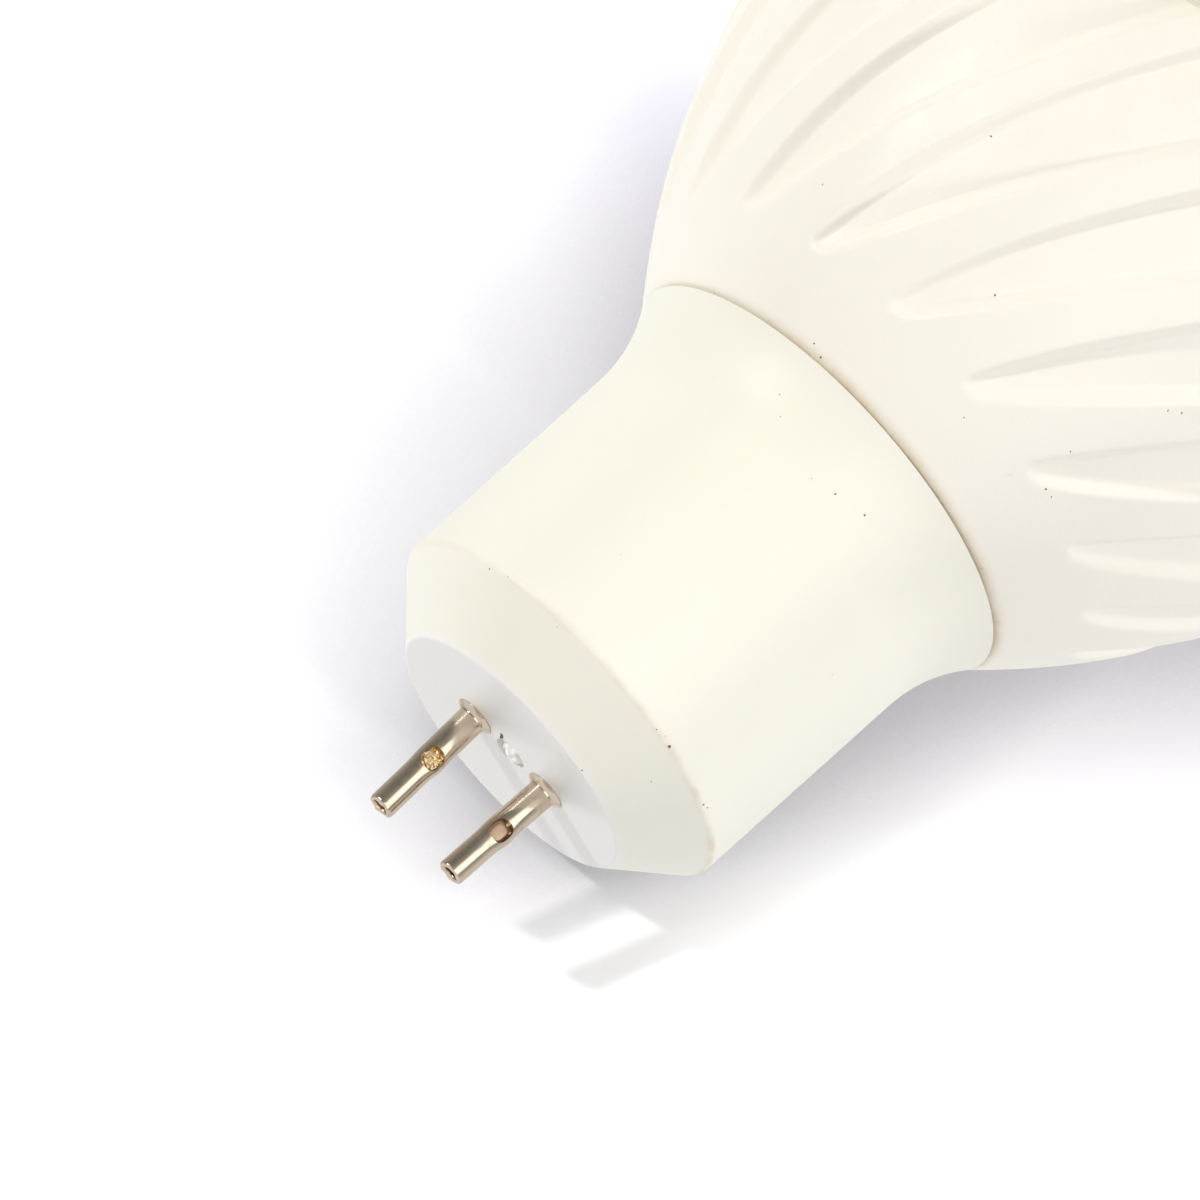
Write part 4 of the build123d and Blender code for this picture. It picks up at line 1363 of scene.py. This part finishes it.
@dataclass
class Dirt:
    """The dark crumbs that stick to the lamp, mostly along the edges of the collar and the bell."""

    crumbs: tuple[Crumb, ...] = (
        Crumb(-48, 51, 0.35, 1.25), Crumb(-54, 51, 0.238, 1.5), Crumb(-123, 47.45, 0.168),
        Crumb(-117, 47.5, 0.077), Crumb(-120, 47.3, 0.07), Crumb(-145, 47.35, 0.105),
        Crumb(-147, 47.2, 0.084), Crumb(-119, 50.9, 0.084), Crumb(-132, 48.8, 0.084),
        Crumb(-79, 47.8, 0.07), Crumb(-59, 47.5, 0.077), Crumb(-52, 47.65, 0.07),
        Crumb(-73, 27.9, 0.112), Crumb(-76, 28.15, 0.14), Crumb(-93, 20.8, 0.105),
        Crumb(-57, 22.2, 0.091), Crumb(-126.5, 24.35, 0.112), Crumb(-128.5, 24.3, 0.098),
        Crumb(-124, 17.9, 0.105), Crumb(-125.5, 17.4, 0.126), Crumb(-106, 25.5, 0.084),
        Crumb(-122, 22.6, 0.091), Crumb(-74, 30.7, 0.091), Crumb(-78, 31.5, 0.084),
        Crumb(-102, 32.2, 0.126), Crumb(-111, 31.7, 0.119), Crumb(-141, 37.7, 0.084),
        Crumb(-75.5, 15.65, 0.098), Crumb(62, 47.4, 0.105), Crumb(20, 28.2, 0.105),
        Crumb(140, 33.0, 0.091), Crumb(95, 21.0, 0.105),
    )
    seed: int = 7
    widths: Range = (0.45, 0.9)  # width of a crumb for its length
    flatness: float = 0.55  # height of a crumb for its length
    lump: float = 0.35
    lump_size: float = 0.09 * MM
    lump_height: float = 0.25 * MM
    fineness: int = 3
    far: float = 40.0 * MM
    above: float = 1.0 * MM

    def tree(self) -> bpy.types.NodeTree:
        """Builds the node tree that sets a turned, flattened and lumpy crumb on each point.

        Returns:
            The tree, with each setting as a named input.
        """
        settings = {
            "Lump": self.lump,
            "Lump Height": self.lump_height,
            "Lumps Per Metre": 1.0 / self.lump_size,
            "Least Width": self.widths[0],
            "Most Width": self.widths[1],
            "Flatness": self.flatness,
            "Seed": self.seed,
        }
        sheet = GeometrySheet("strewn_crumbs", settings)
        given = sheet.given
        size = sheet.point_value("size")
        sockets = {"Vector": sheet.point_value("facing", "FLOAT_VECTOR")}
        upright = sheet.add("FunctionNodeAlignRotationToVector", sockets, axis="Z").outputs[0]
        spin = sheet.join(0.0, 0.0, sheet.chance(given["Seed"], 0.0, math.tau))
        sockets = {"Rotation": upright, "Rotate By": spin}
        turned = sheet.add("FunctionNodeRotateRotation", sockets, rotation_space="LOCAL").outputs[0]
        width = sheet.chance(sheet.plus(given["Seed"], 1.0), given["Least Width"], given["Most Width"])
        proportion = sheet.join(size, sheet.times(size, width), sheet.times(size, given["Flatness"]))
        grain = sheet.add("GeometryNodeMeshIcoSphere", {"Radius": 0.5, "Subdivisions": self.fineness})
        sockets = {
            "Points": given["Geometry"],
            "Instance": grain.outputs["Mesh"],
            "Rotation": turned,
            "Scale": proportion,
        }
        strewn = sheet.add("GeometryNodeInstanceOnPoints", sockets).outputs[0]
        place = sheet.read("GeometryNodeInputPosition")
        sockets = {"Vector": place, "Scale": given["Lumps Per Metre"], "Detail": 2.0}
        rough = sheet.add("ShaderNodeTexNoise", sockets).outputs[0]
        swell = sheet.times(sheet.minus(rough, 0.5), given["Lump"])
        offset = sheet.scaled(sheet.read("GeometryNodeInputNormal"), sheet.times(swell, given["Lump Height"]))
        return sheet.hand_out(sheet.moved(sheet.whole(strewn), Offset=offset))

    def build(self, cabinet: Cabinet, surfaces: list[bpy.types.Object]) -> bpy.types.Object:
        """Strews the crumbs over the lamp.

        Args:
            cabinet: Where the finishes come from.
            surfaces: The pieces that they lie on.

        Returns:
            The new piece.
        """
        skins = [skin_of(surface) for surface in surfaces]
        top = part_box("base_collar")[1].z
        landings = [crumb.landing(skins, top, self.far, self.above) for crumb in self.crumbs]
        mesh = bpy.data.meshes.new("dirt_crumbs")
        mesh.from_pydata([place for place, _ in landings], [], [])
        give_values(mesh, "size", np.array([crumb.size * MM for crumb in self.crumbs]))
        give_values(mesh, "facing", np.array([facing for _, facing in landings]).ravel(), "FLOAT_VECTOR")
        piece = place_mesh("dirt_crumbs", mesh)
        bake_nodes(piece, self.tree(), cabinet.take(Part.DIRT), ("size", "facing"))
        smooth(piece.data)
        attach(piece, BODY)
        return piece


def stage_plane(name: str, place: Matrix, size: float, material: bpy.types.Material) -> None:
    """Adds one square of the stage.

    Args:
        name: Name of the square.
        place: Where it lies, with its front along its own Z.
        size: Length of a side.
        material: Its material.
    """
    half = size / 2
    corners = [(-half, -half, 0.0), (half, -half, 0.0), (half, half, 0.0), (-half, half, 0.0)]
    mesh = bpy.data.meshes.new(name)
    mesh.from_pydata(corners, [], [(0, 1, 2, 3)])
    mesh.materials.append(material)
    plane = place_mesh(name, mesh)
    plane.matrix_world = place


@dataclass(frozen=True)
class StudioLamp:
    """One round lamp of the studio, which looks at the middle of the object."""

    name: str
    direction: Colour
    distance: float
    size: float
    level: float  # light that a white surface facing the lamp sends back
    tint: Colour = (1.0, 1.0, 1.0)
    mirrored: bool = False

    def build(self, target: Vector) -> None:
        """Hangs the lamp.

        Args:
            target: The point that it looks at.
        """
        data = bpy.data.lights.new(self.name, "AREA")
        data.shape = "DISK"
        data.size = self.size
        data.color = self.tint
        data.energy = self.level * math.pi**2 * self.distance**2
        lamp = bpy.data.objects.new(self.name, data)
        bpy.context.scene.collection.objects.link(lamp)
        toward = Vector(self.direction).normalized()
        lamp.location = target + toward * self.distance
        lamp.rotation_euler = toward.to_track_quat("Z", "Y").to_euler()
        lamp.visible_glossy = self.mirrored


@dataclass(frozen=True)
class Viewpoint:
    """The camera, at the photograph's viewing angle."""

    aim: Colour = (2.532 * MM, -2.831 * MM, 42.589 * MM)
    distance: float = 0.416
    heading: float = math.radians(6.228)
    elevation: float = math.radians(17.714)
    roll: float = math.radians(131.76)
    lens: float = 240.0
    nearest: float = 0.01

    def axes(self) -> tuple[Vector, Vector, Vector]:
        """Works out which way the camera looks.

        Returns:
            Its right, up and backward directions.
        """
        level = math.cos(self.elevation)
        ahead = Vector((
            math.sin(self.heading) * level,
            math.cos(self.heading) * level,
            -math.sin(self.elevation),
        ))
        flat = ahead.cross(UP).normalized()
        up = flat.cross(ahead) * math.cos(self.roll) + flat * math.sin(self.roll)
        return ahead.cross(up), up, -ahead

    def build(self) -> None:
        """Sets the camera."""
        right, up, back = self.axes()
        data = bpy.data.cameras.new("camera")
        data.lens = self.lens
        data.clip_start = self.nearest
        camera = bpy.data.objects.new("camera", data)
        bpy.context.scene.collection.objects.link(camera)
        turn = Matrix((right, up, back)).transposed().to_4x4()
        camera.matrix_world = Matrix.Translation(Vector(self.aim) + back * self.distance) @ turn
        bpy.context.scene.camera = camera


@dataclass(frozen=True)
class ShadowCard:
    """A pale card that leans on the lamp's far side and takes its shadow, partly cast by the lamps and partly
    painted.

    Only the camera sees it, from its front, and it fades out. On it X runs to the picture's right and Y up.
    """

    heading: float = math.radians(106.0)
    lean: float = math.radians(17.2)
    touch_radius: float = 11.35 * MM
    touch_drop: float = 3.55 * MM  # end face down to where the card touches the collar
    gap: float = 0.03 * MM
    size: float = 0.24
    shown_reach: Range = (0.056, 0.085)  # distances from the touch between which the card fades out
    foot: Range = (0.2 * MM, 1.5 * MM)  # levels between which it fades in above the floor
    # Painted shade and light: a ramp over ambient occlusion paints the card darker near the lamp, and pale,
    # below, limit and lift paint it lighter away from the lamp, under the end face and towards the top.
    shade_reach: float = 0.03
    shade_rays: int = 12
    slant: float = 0.75  # how much of a step to the right a step down counts as
    pale_reach: Range = (-13.0 * MM, 20.0 * MM)
    pale: Range = (0.905, 1.29)
    pale_bare: float = 0.25
    below_reach: Range = (2.0 * MM, -8.0 * MM)
    below_bare: float = 0.10
    shades: tuple[Range, ...] = (
        (0.42, 0.50), (0.50, 0.63), (0.54, 0.71), (0.58, 0.82),
        (0.68, 0.87), (0.72, 0.91), (0.76, 1.0), (0.82, 1.22),
    )
    hue: Colour = (0.0, -0.006, 0.035)
    limit_reach: Range = (11.0 * MM, 20.0 * MM)
    limit: Range = (1.04, 1.45)
    lift_reach: Range = (22.0 * MM, 60.0 * MM)
    lift_power: float = 2.5
    lift: Range = (1.0, 2.35)

    def painted_shadow_tone(self, sheet: StageSheet, place: bpy.types.NodeSocket) -> bpy.types.NodeSocket:
        """Works out the card's colour: painted shade where the lamp is near, and painted light away from it
        and towards the top.

        Args:
            sheet: The material under construction.
            place: Place on the card.

        Returns:
            The colour.
        """
        across, up, _ = sheet.split(place)
        drift = sheet.minus(across, sheet.times(up, self.slant))
        beyond = sheet.remap(drift, self.pale_reach, (0.0, 1.0))
        pale = sheet.remap(sheet.square(beyond), (0.0, 1.0), self.pale)
        sockets = {"Distance": self.shade_reach}
        # painted shade: ambient occlusion darkens the card where the lamp is near
        near = sheet.add("ShaderNodeAmbientOcclusion", sockets, samples=self.shade_rays).outputs["AO"]
        below = sheet.remap(up, self.below_reach, (0.0, self.below_bare))
        bare = sheet.plus(near, sheet.plus(sheet.times(beyond, self.pale_bare), below))
        stops = tuple((share, tuple(shade + part for part in self.hue)) for share, shade in self.shades)
        shaded = sheet.scaled(sheet.ramp(bare, stops), pale)
        limit = sheet.remap(drift, self.limit_reach, self.limit)
        limited = sheet.add("ShaderNodeVectorMath", {0: shaded, 1: limit}, operation="MINIMUM")
        # painted light: the card is painted lighter towards its top
        rise = sheet.math("POWER", sheet.remap(up, self.lift_reach, (0.0, 1.0)), self.lift_power)
        return sheet.scaled(limited.outputs["Vector"], sheet.remap(rise, (0.0, 1.0), self.lift))

    def shown(self, sheet: StageSheet, place: bpy.types.NodeSocket) -> bpy.types.NodeSocket:
        """Works out how much of the card shows.

        Args:
            sheet: The material under construction.
            place: Place on the card.

        Returns:
            A value from 0 to 1.
        """
        away = sheet.add("ShaderNodeVectorMath", {0: place}, operation="LENGTH").outputs["Value"]
        fade = sheet.remap(away, self.shown_reach, (1.0, 0.0), "SMOOTHSTEP")
        level = sheet.split(sheet.read("ShaderNodeNewGeometry", "Position"))[2]
        off_floor = sheet.remap(level, self.foot, (0.0, 1.0), "SMOOTHSTEP")
        seen = sheet.times(sheet.times(fade, off_floor), sheet.read("ShaderNodeLightPath", "Is Camera Ray"))
        return sheet.times(seen, sheet.minus(1.0, sheet.read("ShaderNodeNewGeometry", "Backfacing")))

    def build(self, right: Vector) -> None:
        """Leans the card on the lamp.

        Args:
            right: Direction to the right of the picture.
        """
        sheet = StageSheet("card_painted_shadow")
        place = sheet.read("ShaderNodeTexCoord", "Object")
        paper = sheet.add("ShaderNodeBsdfDiffuse", {"Color": self.painted_shadow_tone(sheet, place)}).outputs[0]
        clear = sheet.read("ShaderNodeBsdfTransparent")
        mixed = sheet.add("ShaderNodeMixShader", {0: self.shown(sheet, place), 1: clear, 2: paper})
        outward = Vector((math.cos(self.heading), math.sin(self.heading), 0.0))
        normal = -math.cos(self.lean) * outward - UP * math.sin(self.lean)
        touch = outward * self.touch_radius
        touch.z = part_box("base_collar")[1].z - self.touch_drop
        along = (right - normal * right.dot(normal)).normalized()
        turn = Matrix((along, normal.cross(along), normal)).transposed().to_4x4()
        lies = Matrix.Translation(touch - normal * self.gap) @ turn
        stage_plane("card", lies, self.size, sheet.surface(mixed))


@dataclass(frozen=True)
class PanelRing:
    """A ring of bright and dark panels round the lamp, which shows only in mirrored light."""

    radius: float = 0.11
    foot: float = 0.001
    height: float = 0.12
    columns: int = 64
    shades: tuple[Range, ...] = (
        (0.0, 0.62), (0.045, 0.60), (0.07, 0.30), (0.09, 0.45), (0.115, 2.1), (0.205, 2.1),
        (0.24, 0.45), (0.30, 0.30), (0.37, 0.22), (0.46, 0.30), (0.58, 0.55), (0.70, 0.85),
    )

    def build(self) -> None:
        """Stands the panels round the lamp."""
        sheet = StageSheet("panels")
        across, ahead, _ = sheet.split(sheet.read("ShaderNodeTexCoord", "Object"))
        turn = sheet.remap(sheet.math("ARCTAN2", ahead, across), (-math.pi, math.pi), (0.0, 1.0))
        colour = sheet.ramp(turn, tuple((share, (shade, shade, shade)) for share, shade in self.shades))
        light = sheet.add("ShaderNodeEmission", {"Color": colour, "Strength": 1.0})
        count = self.columns
        ring = [(self.radius * math.cos(t), self.radius * math.sin(t)) for t in angles_round(count)]
        points = [(x, y, level) for level in (self.foot, self.height) for x, y in ring]
        faces = [(n, (n + 1) % count, count + (n + 1) % count, count + n) for n in range(count)]
        mesh = bpy.data.meshes.new("panels")
        mesh.from_pydata(points, [], faces)
        mesh.materials.append(sheet.surface(light))
        wall = place_mesh("panels", mesh)
        wall.visible_camera = wall.visible_diffuse = wall.visible_shadow = wall.visible_transmission = False


@dataclass
class Studio:
    """What stands round the lamp: the world, the floor, the card, the panels, the lamps and the camera."""

    world_level: float = 0.5
    world_tint: Colour = (0.965, 0.96, 1.0)
    floor_size: float = 2.4
    floor_drop: float = 0.05 * MM
    floor_colour: Colour = (0.95, 0.95, 0.955)
    floor_glow: float = 0.22  # light that the floor adds for the camera alone
    card: ShadowCard = ShadowCard()
    panels: PanelRing = PanelRing()
    viewpoint: Viewpoint = Viewpoint()
    lamps: tuple[StudioLamp, ...] = (
        StudioLamp("key", (0.753, -0.587, 0.296), 1.0, 0.065, 0.385, (1.0, 0.985, 0.93), mirrored=True),
        StudioLamp("front", (0.35, -0.92, 0.2), 1.2, 0.3, 0.06),
        StudioLamp("right", (-0.87, -0.49, 0.0), 0.5, 0.055, 0.37, (0.99, 0.99, 0.99)),
        StudioLamp("back", (0.27, 0.72, 0.64), 1.0, 0.6, 0.48, (0.85, 0.90, 1.0)),
    )

    def build(self) -> None:
        """Sets the whole studio."""
        self.world()
        self.floor()
        self.card.build(self.viewpoint.axes()[0])
        self.panels.build()
        target = (cad_low + cad_high) / 2
        for lamp in self.lamps:
            lamp.build(target)
        self.viewpoint.build()
        bpy.context.scene.view_settings.view_transform = "Standard"

    @staticmethod
    def seen(sheet: NodeSheet) -> bpy.types.NodeSocket:
        """Returns 1 for rays that the camera sees straight, mirrored or through glass."""
        path = sheet.nodes.new("ShaderNodeLightPath").outputs
        mirrored = sheet.math("MAXIMUM", path["Is Glossy Ray"], path["Is Transmission Ray"])
        return sheet.math("MAXIMUM", path["Is Camera Ray"], mirrored)

    def world(self) -> None:
        """Lights the scene evenly, and shows the camera plain white."""
        world = bpy.data.worlds.new("studio")
        world.use_nodes = True
        bpy.context.scene.world = world
        sheet = NodeSheet(world.node_tree)
        sheet.nodes.clear()
        level = sheet.remap(self.seen(sheet), (0.0, 1.0), (self.world_level, 1.0))
        background = sheet.add("ShaderNodeBackground", {"Color": (*self.world_tint, 1.0), "Strength": level})
        sheet.add("ShaderNodeOutputWorld", {"Surface": background.outputs[0]})

    def floor(self) -> None:
        """Lays the floor just under the front ring: matt white that the camera sees a little brighter."""
        sheet = StageSheet("floor_paper")
        matt = sheet.add("ShaderNodeBsdfDiffuse", {"Color": (*self.floor_colour, 1.0)}).outputs[0]
        glow = sheet.times(self.seen(sheet), self.floor_glow)
        light = sheet.add("ShaderNodeEmission", {"Strength": glow}).outputs[0]
        material = sheet.surface(sheet.add("ShaderNodeAddShader", {0: matt, 1: light}))
        lies = Matrix.Translation((0.0, 0.0, cad_low.z - self.floor_drop))
        stage_plane("floor", lies, self.floor_size, material)


def dress_nodes(cabinet: Cabinet) -> None:
    """Gives each CAD node that stays its finish.

    Args:
        cabinet: Where the finishes come from.
    """
    for name, part in NODE_PARTS.items():
        cabinet.dress(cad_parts[name], part)


def main() -> None:
    """Builds the lamp's pieces and the studio, and reports each piece."""
    logging.basicConfig(level=logging.INFO, format="%(name)s: %(message)s")
    cabinet = Cabinet()
    dress_nodes(cabinet)
    bell = HeatSink(FlutePattern()).build(cabinet)
    left = ContactPin("contact_pin_left", crimp_depth=0.50 * MM, lean=-0.10 * MM)
    right = ContactPin(
        "contact_pin_right",
        crimp_depth=0.34 * MM,
        crimp_noise=0.11 * MM,
        gold=0.9,
        lean=0.26 * MM,
        longer=0.25 * MM,
    )
    pieces = [
        bell,
        left.build(cabinet),
        right.build(cabinet),
        GateMark().build(cabinet),
        Dirt().build(cabinet, [bell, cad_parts["base_collar"]]),
    ]
    Studio().build()
    for piece in pieces:
        log.info("%s has %d faces", piece.name, len(piece.data.polygons))


if __name__ == "__main__":
    main()
